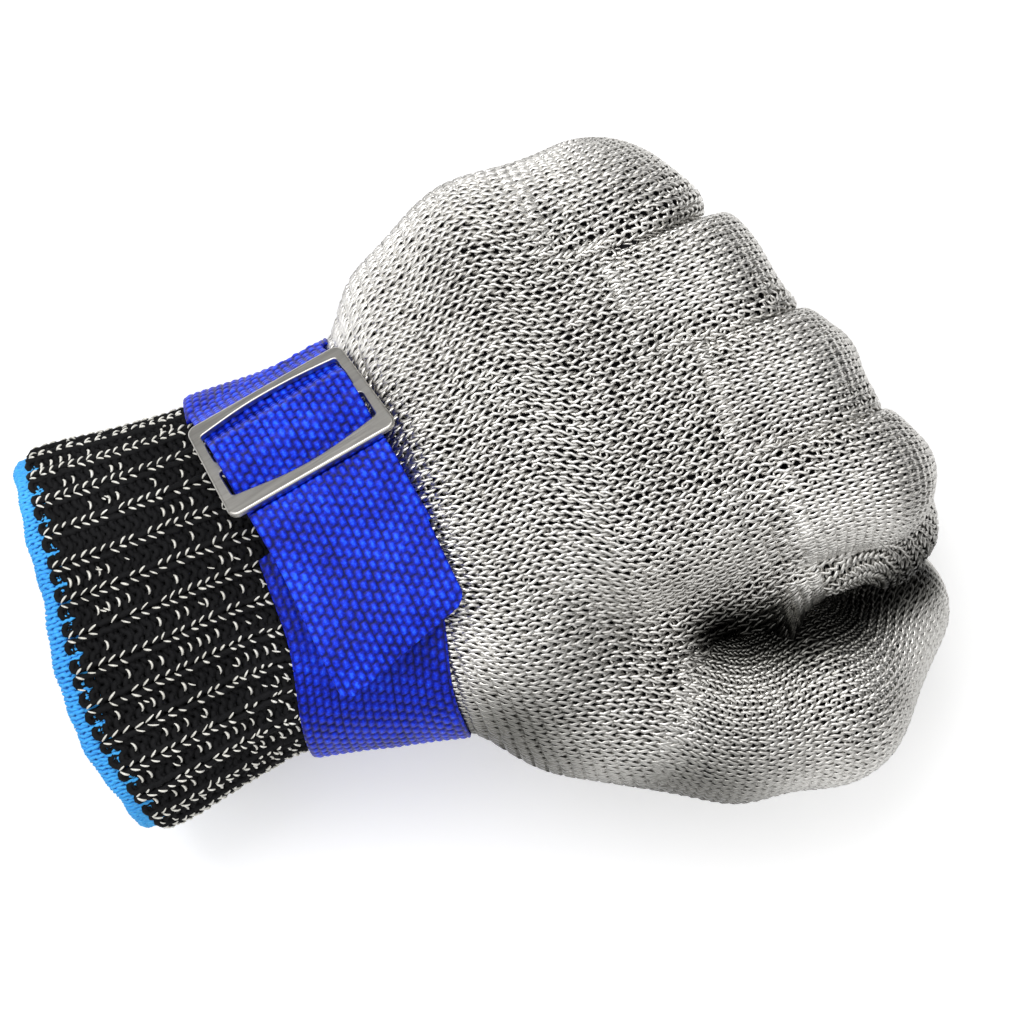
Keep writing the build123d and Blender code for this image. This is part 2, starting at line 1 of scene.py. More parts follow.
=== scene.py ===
import sys
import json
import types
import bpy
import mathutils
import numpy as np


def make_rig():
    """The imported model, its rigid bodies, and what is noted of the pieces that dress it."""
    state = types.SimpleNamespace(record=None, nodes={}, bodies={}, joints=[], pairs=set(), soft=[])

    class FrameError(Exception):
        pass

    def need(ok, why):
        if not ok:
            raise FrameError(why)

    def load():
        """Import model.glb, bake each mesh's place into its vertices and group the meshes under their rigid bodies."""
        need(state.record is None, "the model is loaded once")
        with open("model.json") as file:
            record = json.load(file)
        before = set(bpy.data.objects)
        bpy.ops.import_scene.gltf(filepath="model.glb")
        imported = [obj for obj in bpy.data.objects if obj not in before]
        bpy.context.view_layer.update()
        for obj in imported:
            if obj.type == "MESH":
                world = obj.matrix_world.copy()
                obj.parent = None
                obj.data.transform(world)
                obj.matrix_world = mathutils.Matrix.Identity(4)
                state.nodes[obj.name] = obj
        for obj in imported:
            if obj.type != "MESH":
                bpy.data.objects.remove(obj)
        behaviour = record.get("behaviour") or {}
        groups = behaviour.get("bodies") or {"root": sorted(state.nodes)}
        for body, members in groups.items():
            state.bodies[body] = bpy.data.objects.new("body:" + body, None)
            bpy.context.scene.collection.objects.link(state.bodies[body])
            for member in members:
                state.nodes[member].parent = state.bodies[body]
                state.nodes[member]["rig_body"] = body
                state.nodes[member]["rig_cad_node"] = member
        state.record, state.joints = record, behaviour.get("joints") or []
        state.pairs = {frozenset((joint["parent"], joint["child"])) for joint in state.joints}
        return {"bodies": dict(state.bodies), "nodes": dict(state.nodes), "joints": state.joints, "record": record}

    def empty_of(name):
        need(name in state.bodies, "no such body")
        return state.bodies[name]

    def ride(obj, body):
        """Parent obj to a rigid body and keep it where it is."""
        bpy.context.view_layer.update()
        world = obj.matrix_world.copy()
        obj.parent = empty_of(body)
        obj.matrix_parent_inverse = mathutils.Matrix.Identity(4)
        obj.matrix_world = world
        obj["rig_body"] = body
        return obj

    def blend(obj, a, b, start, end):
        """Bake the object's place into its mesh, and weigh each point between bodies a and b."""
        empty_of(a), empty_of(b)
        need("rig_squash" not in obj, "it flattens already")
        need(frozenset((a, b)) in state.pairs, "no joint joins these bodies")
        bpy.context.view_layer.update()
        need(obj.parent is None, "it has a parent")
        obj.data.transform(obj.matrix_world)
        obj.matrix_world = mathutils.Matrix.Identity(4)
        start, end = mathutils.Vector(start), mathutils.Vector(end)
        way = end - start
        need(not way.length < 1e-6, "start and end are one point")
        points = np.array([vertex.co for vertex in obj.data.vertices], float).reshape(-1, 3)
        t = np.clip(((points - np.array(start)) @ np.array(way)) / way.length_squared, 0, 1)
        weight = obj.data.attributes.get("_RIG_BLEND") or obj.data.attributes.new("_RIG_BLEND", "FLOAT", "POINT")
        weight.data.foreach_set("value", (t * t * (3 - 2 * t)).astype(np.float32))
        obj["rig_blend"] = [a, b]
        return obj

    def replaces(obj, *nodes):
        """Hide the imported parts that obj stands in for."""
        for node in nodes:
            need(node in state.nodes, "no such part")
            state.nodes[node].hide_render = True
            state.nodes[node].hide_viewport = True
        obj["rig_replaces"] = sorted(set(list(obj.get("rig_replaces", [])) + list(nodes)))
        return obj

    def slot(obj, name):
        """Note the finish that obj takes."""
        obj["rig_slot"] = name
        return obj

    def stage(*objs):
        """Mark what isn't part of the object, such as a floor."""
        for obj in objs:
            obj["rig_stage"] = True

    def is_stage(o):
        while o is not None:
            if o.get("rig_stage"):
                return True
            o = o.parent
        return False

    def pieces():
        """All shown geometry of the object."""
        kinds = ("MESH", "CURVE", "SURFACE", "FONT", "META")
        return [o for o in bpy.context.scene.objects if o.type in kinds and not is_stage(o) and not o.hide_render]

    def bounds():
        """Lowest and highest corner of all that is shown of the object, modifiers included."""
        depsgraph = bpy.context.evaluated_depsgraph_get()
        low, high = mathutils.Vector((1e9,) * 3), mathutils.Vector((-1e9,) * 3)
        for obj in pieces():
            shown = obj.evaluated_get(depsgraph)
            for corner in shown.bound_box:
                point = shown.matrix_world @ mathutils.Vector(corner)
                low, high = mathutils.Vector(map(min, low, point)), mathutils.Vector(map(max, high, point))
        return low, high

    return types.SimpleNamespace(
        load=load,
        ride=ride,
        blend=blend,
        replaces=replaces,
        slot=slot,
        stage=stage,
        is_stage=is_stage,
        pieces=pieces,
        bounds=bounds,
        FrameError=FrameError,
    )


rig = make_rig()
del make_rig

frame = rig.load()

import json
from math import sin, cos, tan, radians, degrees, sqrt, pi, atan2, exp

import bpy
import numpy as np
from mathutils import Matrix, Vector

CAD_LO, CAD_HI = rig.bounds()
rng = np.random.default_rng(20)

# ---------------------------------------------------------------------------
# Hand frame (mm): X wrist to knuckles, Y to the little finger, Z out of the
# back of the hand.  row() takes it to the frame the CAD is packed in.
# ---------------------------------------------------------------------------
TILT = radians(6.7)
OPENING = np.array([-4.0, -0.3, 0.0])
R_ROW = np.array([[cos(TILT), 0, -sin(TILT)], [0, 1, 0], [sin(TILT), 0, cos(TILT)]])


def row(p):
    return (np.asarray(p, float) - OPENING) @ R_ROW.T / 1000.0


def hand(p):
    return (np.asarray(p, float) * 1000.0) @ R_ROW + OPENING


def hand_dir(v):
    return np.asarray(v, float) @ R_ROW


JOINTS = {j["name"]: (hand(j["pos_m"]), hand_dir(j["axis"])) for j in frame["joints"]}


def unit(v):
    v = np.asarray(v, float)
    return v / np.maximum(np.linalg.norm(v, axis=-1, keepdims=True), 1e-9)


def smooth(x, a, b):
    t = np.clip((np.asarray(x, float) - a) / (b - a), 0, 1)
    return t * t * (3 - 2 * t)


def rotate(p, pivot, axis, ang):
    """p turned about an axis through pivot; ang may be one angle per point (last axis of p is xyz)."""
    v = p - pivot
    n = np.asarray(axis, float)
    n = n / np.linalg.norm(n)
    ang = np.asarray(ang, float)
    c, s = np.cos(ang)[..., None], np.sin(ang)[..., None]
    return pivot + v * c + np.cross(np.broadcast_to(n, v.shape), v) * s + n * (v @ n)[..., None] * (1 - c)


# ------------------------------------------------- outline of wrist and cuff
OUTLINE = [
    (-4.0, -0.3, 0.0, 35.0, 22.6, 2.15),
    (0.0, -0.3, 0.1, 35.0, 22.6, 2.15),
    (15.0, 0.3, 1.2, 32.8, 22.0, 2.2),
    (26.0, 0.8, 2.3, 31.6, 21.4, 2.25),
    (35.0, 0.0, 3.3, 32.1, 21.0, 2.3),
    (42.0, -0.9, 4.2, 32.8, 20.6, 2.3),
    (53.0, -1.5, 5.8, 34.6, 20.2, 2.35),
    (62.0, 0.0, 8.0, 43.0, 18.4, 2.45),
]
_XS = [r[0] for r in OUTLINE]
_COLS = [[r[k] for r in OUTLINE] for k in range(1, 6)]


def _pchip(xs_, ys, x):
    n = len(xs_)
    if x <= xs_[0]:
        return ys[0]
    if x >= xs_[-1]:
        return ys[-1]
    h = [xs_[i + 1] - xs_[i] for i in range(n - 1)]
    d = [(ys[i + 1] - ys[i]) / h[i] for i in range(n - 1)]
    m = [d[0]] + [0.0] * (n - 2) + [d[-1]]
    for i in range(1, n - 1):
        if d[i - 1] * d[i] > 0:
            w1, w2 = 2 * h[i] + h[i - 1], h[i] + 2 * h[i - 1]
            m[i] = (w1 + w2) / (w1 / d[i - 1] + w2 / d[i])
    i = max(k for k in range(n - 1) if xs_[k] <= x)
    t = (x - xs_[i]) / h[i]
    return (1 + 2 * t) * (1 - t) ** 2 * ys[i] + t * (1 - t) ** 2 * h[i] * m[i] + t * t * (3 - 2 * t) * ys[i + 1] + t * t * (t - 1) * h[i] * m[i + 1]


def outline(x):
    return tuple(_pchip(_XS, c, x) for c in _COLS)


def ring_even(x, off, n, start=0.0):
    """n points spaced evenly by length round the outline at x, moved out by off; the first on the +Y side, back first."""
    yc, zc, ay, az, sq = outline(x)
    t = np.linspace(0, 2 * pi, 721)
    c, s = np.cos(t), np.sin(t)
    r = (np.abs(c) ** sq + np.abs(s) ** sq) ** (-1 / sq)
    p = np.stack([np.full(721, x), yc + (ay + off) * r * c, zc + (az + off) * r * s], 1)
    L = np.concatenate([[0], np.cumsum(np.linalg.norm(np.diff(p, axis=0), axis=1))])
    at = (np.arange(n) / n + start) % 1 * L[-1]
    return np.stack([np.interp(at, L, p[:, i]) for i in range(3)], 1)



# --------------------------------------------------------- skeleton and volume
FINGERS = {
    "index": ((134.0, -19.5, 14.0), -2.0, (41, 25, 16), (86, 98, 46), (11.6, 10.6, 9.5, 8.7)),
    "middle": ((127.5, 1.0, 16.0), 0.0, (44, 28, 17), (86, 98, 46), (11.8, 10.8, 9.7, 8.8)),
    "ring": ((118.0, 21.5, 14.0), 2.0, (41, 27, 17), (86, 98, 46), (11.4, 10.3, 9.3, 8.5)),
    "little": ((107.5, 40.0, 9.0), 4.0, (33, 20, 15), (86, 98, 46), (10.8, 9.8, 8.9, 8.2)),
}
THUMB_IN, THUMB_MCP, THUMB_IP, THUMB_TIP = (60.0, -25.0, 2.0), (98.0, -51.5, -4.0), (122.5, -52.0, -11.0), (132.0, -43.5, -17.0)


def chain(f):
    m, yaw, lengths, bends, r = FINGERS[f]
    p = np.array(m, float)
    y = radians(yaw)
    fx, fz = np.array([cos(y), sin(y), 0]), np.array([0, 0, 1.0])
    pts, a = [p], 0.0
    for length, bend in zip(lengths, bends):
        a += radians(bend)
        pts.append(pts[-1] + length * (cos(a) * fx - sin(a) * fz))
    return pts


# how the skin of each closed finger sits on its joints: moved by x and y, and slimmer by
SKIN = {"index": (-1.8, 0.0, 1.2), "middle": (-2.2, 0.0, 1.2), "ring": (-0.8, 0.0, 1.0), "little": (0.0, -1.2, 1.0)}
STALLS, BONES, HEEL, THENAR = [], [], [], []
for f in FINGERS:
    pts, r = chain(f), FINGERS[f][4]
    (mx, my, slim) = SKIN[f]
    pts = [q + np.array([mx, my, 0.0]) for q in pts]
    STALLS.append([(pts[i], pts[i + 1], r[i] - slim, r[i + 1] - slim) for i in range(3)])
    BONES.append([(np.array([64.0, pts[0][1] * 0.45, 8.5]), pts[0], 16.4, r[0] - slim)])
for y in (-13.5, 0.0, 13.5):
    HEEL.append((np.array([40.0, y, 4.0]), np.array([66.0, y * 1.25, 8.0]), 19.0, 17.6))
HEEL.append((np.array([60.0, 26.0, 7.5]), np.array([84.0, 36.0, 9.5]), 15.4, 14.9))
HEEL.append((np.array([84.0, 36.0, 9.5]), np.array([102.0, 39.0, 9.0]), 14.9, 12.6))
THENAR.append((np.array(THUMB_IN), np.array(THUMB_MCP), 18.2, 13.9))
THUMB = [(np.array([98.0, -50.6, -4.0]), np.array([114.0, -53.0, -8.0]), 14.1, 15.3), (np.array([114.0, -53.0, -8.0]), np.array([130.3, -43.2, -16.0]), 15.3, 11.6)]
# the index stall is widest on its free side, beside the thumb
BONES[0].append((np.array([94.0, -21.0, 6.0]), np.array([131.5, -27.8, 3.0]), 10.0, 11.0))


def capsule_sdf(p, cap):
    a, b, ra, rb = cap[:4]
    d = b - a
    t = np.clip(((p - a) @ d) / (d @ d), 0, 1)
    return np.linalg.norm(p - (a + t[..., None] * d), axis=-1) - (ra + (rb - ra) * t)


def union(p, caps, k):
    ds = np.stack([capsule_sdf(p, c) for c in caps])
    m = ds.min(0)
    return m - k * np.log(np.exp(-(ds - m) / k).sum(0))


def smin(a, b, k):
    h = np.maximum(k - np.abs(a - b), 0) / k
    return np.minimum(a, b) - h * h * k * 0.25


def hardmin(p, caps):
    return np.stack([capsule_sdf(p, c) for c in caps]).min(0)


WEB_K = (14.0, 14.0, 19.0)


def hand_sdf(p, fingers):
    """Back and palm of the closed hand, with or without the curled fingers; the skin spans the grooves."""
    d = None
    for n_, (bone, stall_) in enumerate(zip(BONES, STALLS)):
        g_ = hardmin(p, bone)
        if fingers:
            g_ = smin(g_, hardmin(p, stall_), 2.0)
        d = g_ if d is None else smin(d, g_, WEB_K[n_ - 1])
    for c in HEEL:
        d = smin(d, capsule_sdf(p, c), 5.0)
    return d


def palm_sdf(p):
    shrink = 13.0 * smooth(p[..., 0], 98.0, 122.0)
    return smin(hand_sdf(p, False), union(p, THENAR, 1.0) + shrink, 11.0)


def rest_sdf(p):
    """The closed hand without the thumb."""
    return hand_sdf(p, True)


# the crease between index finger and thumb, and the painted shade darkening it; the function also paints shade on the
# lower thumb side towards the wrist
FOLD = [(100.5, -36.0), (112.0, -40.6), (123.0, -41.2), (141.0, -38.0)]


def fold_shade(p):
    d = np.full(len(p), 1e9)
    for (ax, ay), (bx, by) in zip(FOLD, FOLD[1:]):
        t = np.clip(((p[:, 0] - ax) * (bx - ax) + (p[:, 1] - ay) * (by - ay)) / ((bx - ax) ** 2 + (by - ay) ** 2), 0, 1)
        d = np.minimum(d, np.hypot(p[:, 0] - ax - t * (bx - ax), p[:, 1] - ay - t * (by - ay)))
    # painted shade: dark in the crease between index and thumb (upper side only), and on the lower thumb side towards
    # the wrist
    top = smooth(p[:, 2], -16.0, -8.0)
    fold = np.exp(-((d / 4.8) ** 2)) * top
    low = smooth(-p[:, 1], 44.0, 62.0) * (1 - smooth(p[:, 0], 84.0, 112.0)) * 0.55
    low = np.maximum(low, smooth(-p[:, 1], 24.0, 40.0) * (1 - smooth(p[:, 0], 58.0, 84.0)) * 0.55)
    return np.clip(np.maximum(fold, low), 0, 1)


# ------------------------------------------------------------------ meshes
def mesh_object(name, verts, faces, material, smooth_shade=True):
    """verts in the hand frame; faces is an (n,4) array or a list of arrays."""
    me = bpy.data.meshes.new(name)
    v = row(verts).astype(np.float32)
    faces = np.asarray(faces, np.int32)
    me.vertices.add(len(v))
    me.vertices.foreach_set("co", v.ravel())
    me.loops.add(faces.size)
    me.loops.foreach_set("vertex_index", faces.ravel())
    me.polygons.add(len(faces))
    me.polygons.foreach_set("loop_start", np.arange(0, faces.size, faces.shape[1], dtype=np.int32))
    me.update(calc_edges=True)
    me.polygons.foreach_set("use_smooth", np.full(len(faces), smooth_shade))
    me.materials.append(material)
    # vertex attribute carrying the painted shade of the index-thumb crease and the lower thumb side
    if material is globals().get("STEEL"):
        at = me.attributes.new("fold", "FLOAT", "POINT")
        at.data.foreach_set("value", fold_shade(np.asarray(verts, float)).astype(np.float32))
    ob = bpy.data.objects.new(name, me)
    bpy.context.scene.collection.objects.link(ob)
    return ob


def set_weights(ob, w):
    ob.data.attributes["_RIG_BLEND"].data.foreach_set("value", np.asarray(w, np.float32))


class Parts:
    """Gathers vertices, quads and a blend weight per vertex."""

    def __init__(self):
        self.v, self.f, self.w, self.n = [], [], [], 0

    def add(self, v, f, w=None):
        v = v.reshape(-1, 3)
        self.v.append(v)
        self.f.append(f.reshape(-1, 4) + self.n)
        self.w.append(np.zeros(len(v)) if w is None else np.broadcast_to(w, (len(v),)).astype(float))
        self.n += len(v)

    def data(self):
        return np.concatenate(self.v), np.concatenate(self.f), np.concatenate(self.w)


def drop_loose(v, f, w):
    used = np.zeros(len(v), bool)
    used[f.ravel()] = True
    index = np.cumsum(used) - 1
    return v[used], index[f], w[used]


def grid_faces(rows, cols, wrap):
    i = np.arange(rows - 1)[:, None]
    j = np.arange(cols if wrap else cols - 1)[None, :]
    j2 = (j + 1) % cols
    return np.stack([i * cols + j, i * cols + j2, (i + 1) * cols + j2, (i + 1) * cols + j], -1).reshape(-1, 4)


def tube_strips(path, normal, radius, sides, closed, w=None, keep=None, flat=1.0):
    """Tubes along many paths at once.  path: (rows, samples, 3); normal: the surface normal there."""
    rows, m, _ = path.shape
    if closed:
        t = np.roll(path, -1, 1) - np.roll(path, 1, 1)
    else:
        t = np.gradient(path, axis=1)
    t = unit(t)
    side = unit(np.cross(t, normal))
    up = np.cross(side, t)
    rad = np.broadcast_to(np.asarray(radius, float), (rows, m))[..., None]
    rings = []
    for q in range(sides):
        a = 2 * pi * (q + 0.5) / sides
        rings.append(path + side * cos(a) * rad + up * sin(a) * rad * flat)
    v = np.stack(rings, 2)  # rows, m, sides, 3
    r = np.arange(rows)[:, None, None]
    s = np.arange(m if closed else m - 1)[None, :, None]
    q = np.arange(sides)[None, None, :]
    s2, q2 = (s + 1) % m, (q + 1) % sides
    idx = lambda ss, qq: (r * m + ss) * sides + qq
    f = np.stack([idx(s, q), idx(s, q2), idx(s2, q2), idx(s2, q)], -1)
    if keep is not None:
        k1 = keep[:, : f.shape[1]] & (np.roll(keep, -1, 1)[:, : f.shape[1]])
        f = f[k1]
    ww = None
    if w is not None:
        ww = np.repeat(np.broadcast_to(w, (rows, m))[..., None], sides, 2).ravel()
    return v.reshape(-1, 3), f.reshape(-1, 4), ww


def normals_of(g, wrap=True):
    du = (np.roll(g, -1, 1) - np.roll(g, 1, 1)) if wrap else np.gradient(g, axis=1)
    dk = np.gradient(g, axis=0)
    return unit(np.cross(du, dk))


def sample_grid(g, k, j, wrap=True):
    """Bilinear sample of grid g (rows, cols, c) at course k and wale j."""
    rows, cols = g.shape[:2]
    k = np.clip(k, -0.9, rows - 0.1)
    k0 = np.clip(np.floor(k).astype(int), 0, rows - 2)
    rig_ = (k - k0)[..., None]
    if wrap:
        j0 = np.floor(j).astype(int)
        fj = (j - j0)[..., None]
        a, b = j0 % cols, (j0 + 1) % cols
    else:
        j = np.clip(j, 0, cols - 1)
        j0 = np.clip(np.floor(j).astype(int), 0, cols - 2)
        fj = (j - j0)[..., None]
        a, b = j0, j0 + 1
    return (g[k0, a] * (1 - fj) + g[k0, b] * fj) * (1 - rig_) + (g[k0 + 1, a] * (1 - fj) + g[k0 + 1, b] * fj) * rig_


def knit(grid, nrm, courses, samples, radius, sides=4, a=0.19, b=0.86, d=0.33, w_row=None, keep_fn=None, jitter=0.05, sink=0.0, rib=0.0, flat=1.0):
    """Loops of plain knitting laid on a closed grid of stitches: one yarn a course."""
    rows, cols = grid.shape[:2]
    courses = np.asarray(courses)
    m = cols * samples
    t = np.arange(m) * 2 * pi / samples
    u = t / (2 * pi) + a * np.sin(2 * t)
    kk = courses[:, None] - b * np.cos(t)[None, :]
    wob = rng.normal(0, jitter, (len(courses), cols + 1))
    wob[:, -1] = wob[:, 0]
    wale = np.arange(m) / samples
    i0 = np.floor(wale).astype(int)
    fr = wale - i0
    wobble = wob[:, i0] * (1 - fr) + wob[:, (i0 + 1) % (cols + 1)] * fr
    jj = u[None, :] + wobble
    kk = kk + wobble[:, ::-1] * 0.8
    p = sample_grid(grid, kk, jj)
    n = unit(sample_grid(nrm, kk, jj))
    c = -d * np.cos(2 * t)[None, :] * np.ones((len(courses), 1))
    if rib:
        q = np.cos(pi * (u - 0.5))[None, :]
        c = c * q + rib * q
    path = p + n * (c - sink)[..., None]
    keep = None if keep_fn is None else keep_fn(path)
    w = None if w_row is None else np.interp(kk, np.arange(rows), w_row)
    return tube_strips(path, n, radius, sides, True, w, keep, flat)


# ---------------------------------------------------------------- materials
def new_material(name, rough=0.5, metal=0.0):
    m = bpy.data.materials.new(name)
    m.use_nodes = True
    nt = m.node_tree
    b = nt.nodes["Principled BSDF"]
    b.inputs["Roughness"].default_value = rough
    b.inputs["Metallic"].default_value = metal
    return m, nt, b


def coords(nt, scale=(1, 1, 1), rot=(0, 0, 0)):
    tc = nt.nodes.new("ShaderNodeTexCoord")
    mp = nt.nodes.new("ShaderNodeMapping")
    mp.inputs["Scale"].default_value = scale
    mp.inputs["Rotation"].default_value = rot
    nt.links.new(tc.outputs["Object"], mp.inputs["Vector"])
    return mp.outputs["Vector"]


def noise(nt, vec, scale, detail=3.0, rough=0.55):
    n = nt.nodes.new("ShaderNodeTexNoise")
    n.inputs["Scale"].default_value = scale
    n.inputs["Detail"].default_value = detail
    n.inputs["Roughness"].default_value = rough
    nt.links.new(vec, n.inputs["Vector"])
    return n.outputs["Fac"]


def ramp(nt, fac, stops):
    r = nt.nodes.new("ShaderNodeValToRGB")
    el = r.color_ramp.elements
    while len(el) > 1:
        el.remove(el[-1])
    el[0].position, el[0].color = stops[0][0], (*stops[0][1], 1)
    for pos, col in stops[1:]:
        e = el.new(pos)
        e.color = (*col, 1)
    nt.links.new(fac, r.inputs["Fac"])
    return r.outputs["Color"]


def mathn(nt, op, a, b=None, clamp=False):
    n = nt.nodes.new("ShaderNodeMath")
    n.operation = op
    n.use_clamp = clamp
    for i, x in enumerate((a, b)):
        if x is None:
            continue
        if isinstance(x, (int, float)):
            n.inputs[i].default_value = x
        else:
            nt.links.new(x, n.inputs[i])
    return n.outputs[0]


def span(nt, fac, lo, hi):
    n = nt.nodes.new("ShaderNodeMapRange")
    n.inputs["To Min"].default_value = lo
    n.inputs["To Max"].default_value = hi
    nt.links.new(fac, n.inputs["Value"])
    return n.outputs["Result"]


def bump(nt, b, height, strength, distance):
    n = nt.nodes.new("ShaderNodeBump")
    n.inputs["Strength"].default_value = strength
    n.inputs["Distance"].default_value = distance
    nt.links.new(height, n.inputs["Height"])
    nt.links.new(n.outputs["Normal"], b.inputs["Normal"])


def make_steel(name, lo, hi, r0, r1):
    m, nt, b = new_material(name, 0.3, 1.0)
    v = coords(nt)
    big = noise(nt, v, 55.0, 3.0)
    fine = noise(nt, v, 900.0, 2.0)
    mix = mathn(nt, "ADD", mathn(nt, "MULTIPLY", big, 0.5), mathn(nt, "MULTIPLY", fine, 0.5))
    col = ramp(nt, mix, [(0.30, lo), (0.68, hi)])
    # painted shade: the attribute darkens the base colour in the index-thumb crease and on the lower thumb side
    at = nt.nodes.new("ShaderNodeAttribute")
    at.attribute_name = "fold"
    shade = ramp(nt, mathn(nt, "MULTIPLY", at.outputs["Fac"], mathn(nt, "ADD", fine, 0.62)), [(0.0, (1.0, 1.0, 1.0)), (0.5, (0.34, 0.34, 0.33)), (1.0, (0.05, 0.05, 0.048))])
    mx = nt.nodes.new("ShaderNodeMixRGB")
    mx.blend_type = "MULTIPLY"
    mx.inputs["Fac"].default_value = 1.0
    nt.links.new(col, mx.inputs["Color1"])
    nt.links.new(shade, mx.inputs["Color2"])
    nt.links.new(mx.outputs["Color"], b.inputs["Base Color"])
    nt.links.new(span(nt, fine, r0, r1), b.inputs["Roughness"])
    bump(nt, b, noise(nt, v, 2600.0, 2.0), 0.25, 0.00006)
    return m


STEEL = make_steel("knitted_steel", (0.50, 0.485, 0.46), (0.90, 0.885, 0.85), 0.20, 0.40)

# steel slider: fine brushing along the bars, slightly warm, worn brighter patches
SLIDER, nt, b = new_material("slider_steel", 0.3, 1.0)
v = coords(nt, (1, 1, 1), (0, 0, radians(-12)))
mp = nt.nodes.new("ShaderNodeMapping")
mp.inputs["Scale"].default_value = (120, 3200, 3200)
nt.links.new(v, mp.inputs["Vector"])
streak = noise(nt, mp.outputs["Vector"], 1.0, 4.0, 0.6)
wear = noise(nt, v, 70.0, 4.0)
nt.links.new(ramp(nt, mathn(nt, "ADD", mathn(nt, "MULTIPLY", streak, 0.45), mathn(nt, "MULTIPLY", wear, 0.55)), [(0.3, (0.40, 0.385, 0.36)), (0.7, (0.60, 0.585, 0.55))]), b.inputs["Base Color"])
nt.links.new(span(nt, streak, 0.24, 0.40), b.inputs["Roughness"])
bump(nt, b, streak, 0.22, 0.00004)


def make_cloth(name, lo, hi, rough, scale, sheen=0.0, metal=0.0, tint=None, depth=0.00008, spec=0.5):
    m, nt, b = new_material(name, rough, metal)
    b.inputs["Specular IOR Level"].default_value = spec
    v = coords(nt)
    big = noise(nt, v, 60.0, 3.0)
    fine = noise(nt, v, scale, 3.0, 0.65)
    mix = mathn(nt, "ADD", mathn(nt, "MULTIPLY", big, 0.4), mathn(nt, "MULTIPLY", fine, 0.6))
    nt.links.new(ramp(nt, mix, [(0.32, lo), (0.66, hi)]), b.inputs["Base Color"])
    nt.links.new(span(nt, fine, rough - 0.1, min(1.0, rough + 0.1)), b.inputs["Roughness"])
    if sheen:
        b.inputs["Sheen Weight"].default_value = sheen
        b.inputs["Sheen Roughness"].default_value = 0.4
        if tint:
            b.inputs["Sheen Tint"].default_value = (*tint, 1)
    bump(nt, b, fine, 0.5, depth)
    return m


LINER = make_cloth("dark_liner", (0.004, 0.004, 0.0045), (0.014, 0.0135, 0.0145), 0.95, 1500.0, spec=0.12)
BLACK = make_cloth("black_yarn", (0.0025, 0.0025, 0.003), (0.011, 0.011, 0.012), 0.8, 2400.0, spec=0.16)
WHITE = make_cloth("steel_strand", (0.62, 0.60, 0.53), (0.95, 0.94, 0.88), 0.42, 2000.0, metal=0.25)
BLUE_KNIT = make_cloth("blue_lining", (0.030, 0.30, 0.78), (0.075, 0.52, 1.0), 0.8, 1400.0, sheen=0.2, tint=(0.6, 0.85, 1.0))
BLUE_BACK = make_cloth("blue_lining_shade", (0.010, 0.11, 0.38), (0.020, 0.20, 0.58), 0.9, 1400.0)

# webbing: the floats of the weave are bright, the gaps between them dark, painted shade driven by the weave height
# attribute
WEB, nt, b = new_material("blue_webbing", 0.42)
b.inputs["Specular IOR Level"].default_value = 0.22
v = coords(nt)
at_ = nt.nodes.new("ShaderNodeAttribute")
at_.attribute_name = "weave"
fine = noise(nt, v, 2300.0, 3.0, 0.65)
big = noise(nt, v, 150.0, 3.0)
tone = mathn(nt, "ADD", mathn(nt, "MULTIPLY", at_.outputs["Fac"], 0.80), mathn(nt, "ADD", mathn(nt, "MULTIPLY", mathn(nt, "SUBTRACT", fine, 0.5), 0.9), mathn(nt, "MULTIPLY", mathn(nt, "SUBTRACT", big, 0.5), 0.7)))
nt.links.new(ramp(nt, tone, [(0.12, (0.0004, 0.0022, 0.09)), (0.42, (0.0014, 0.011, 0.42)), (0.68, (0.004, 0.042, 0.82)), (0.94, (0.020, 0.15, 1.0))]), b.inputs["Base Color"])
nt.links.new(span(nt, fine, 0.34, 0.55), b.inputs["Roughness"])
bump(nt, b, fine, 0.5, 0.00008)
THREAD = make_cloth("sewing_thread", (0.004, 0.012, 0.38), (0.010, 0.040, 0.72), 0.5, 2600.0)

# ------------------------------------------------------------ palm and back
STEP_X = 1.5
PX = np.arange(42.0, 124.0, STEP_X)
NC = 360


def z_anchor(x, side):
    if side > 0:
        return np.interp(x, [42, 60, 90], [4.2, 6.0, 8.0])
    return np.interp(x, [42, 60, 80, 98, 110, 124], [4.2, 3.0, 0.0, -3.0, -1.0, 4.0])


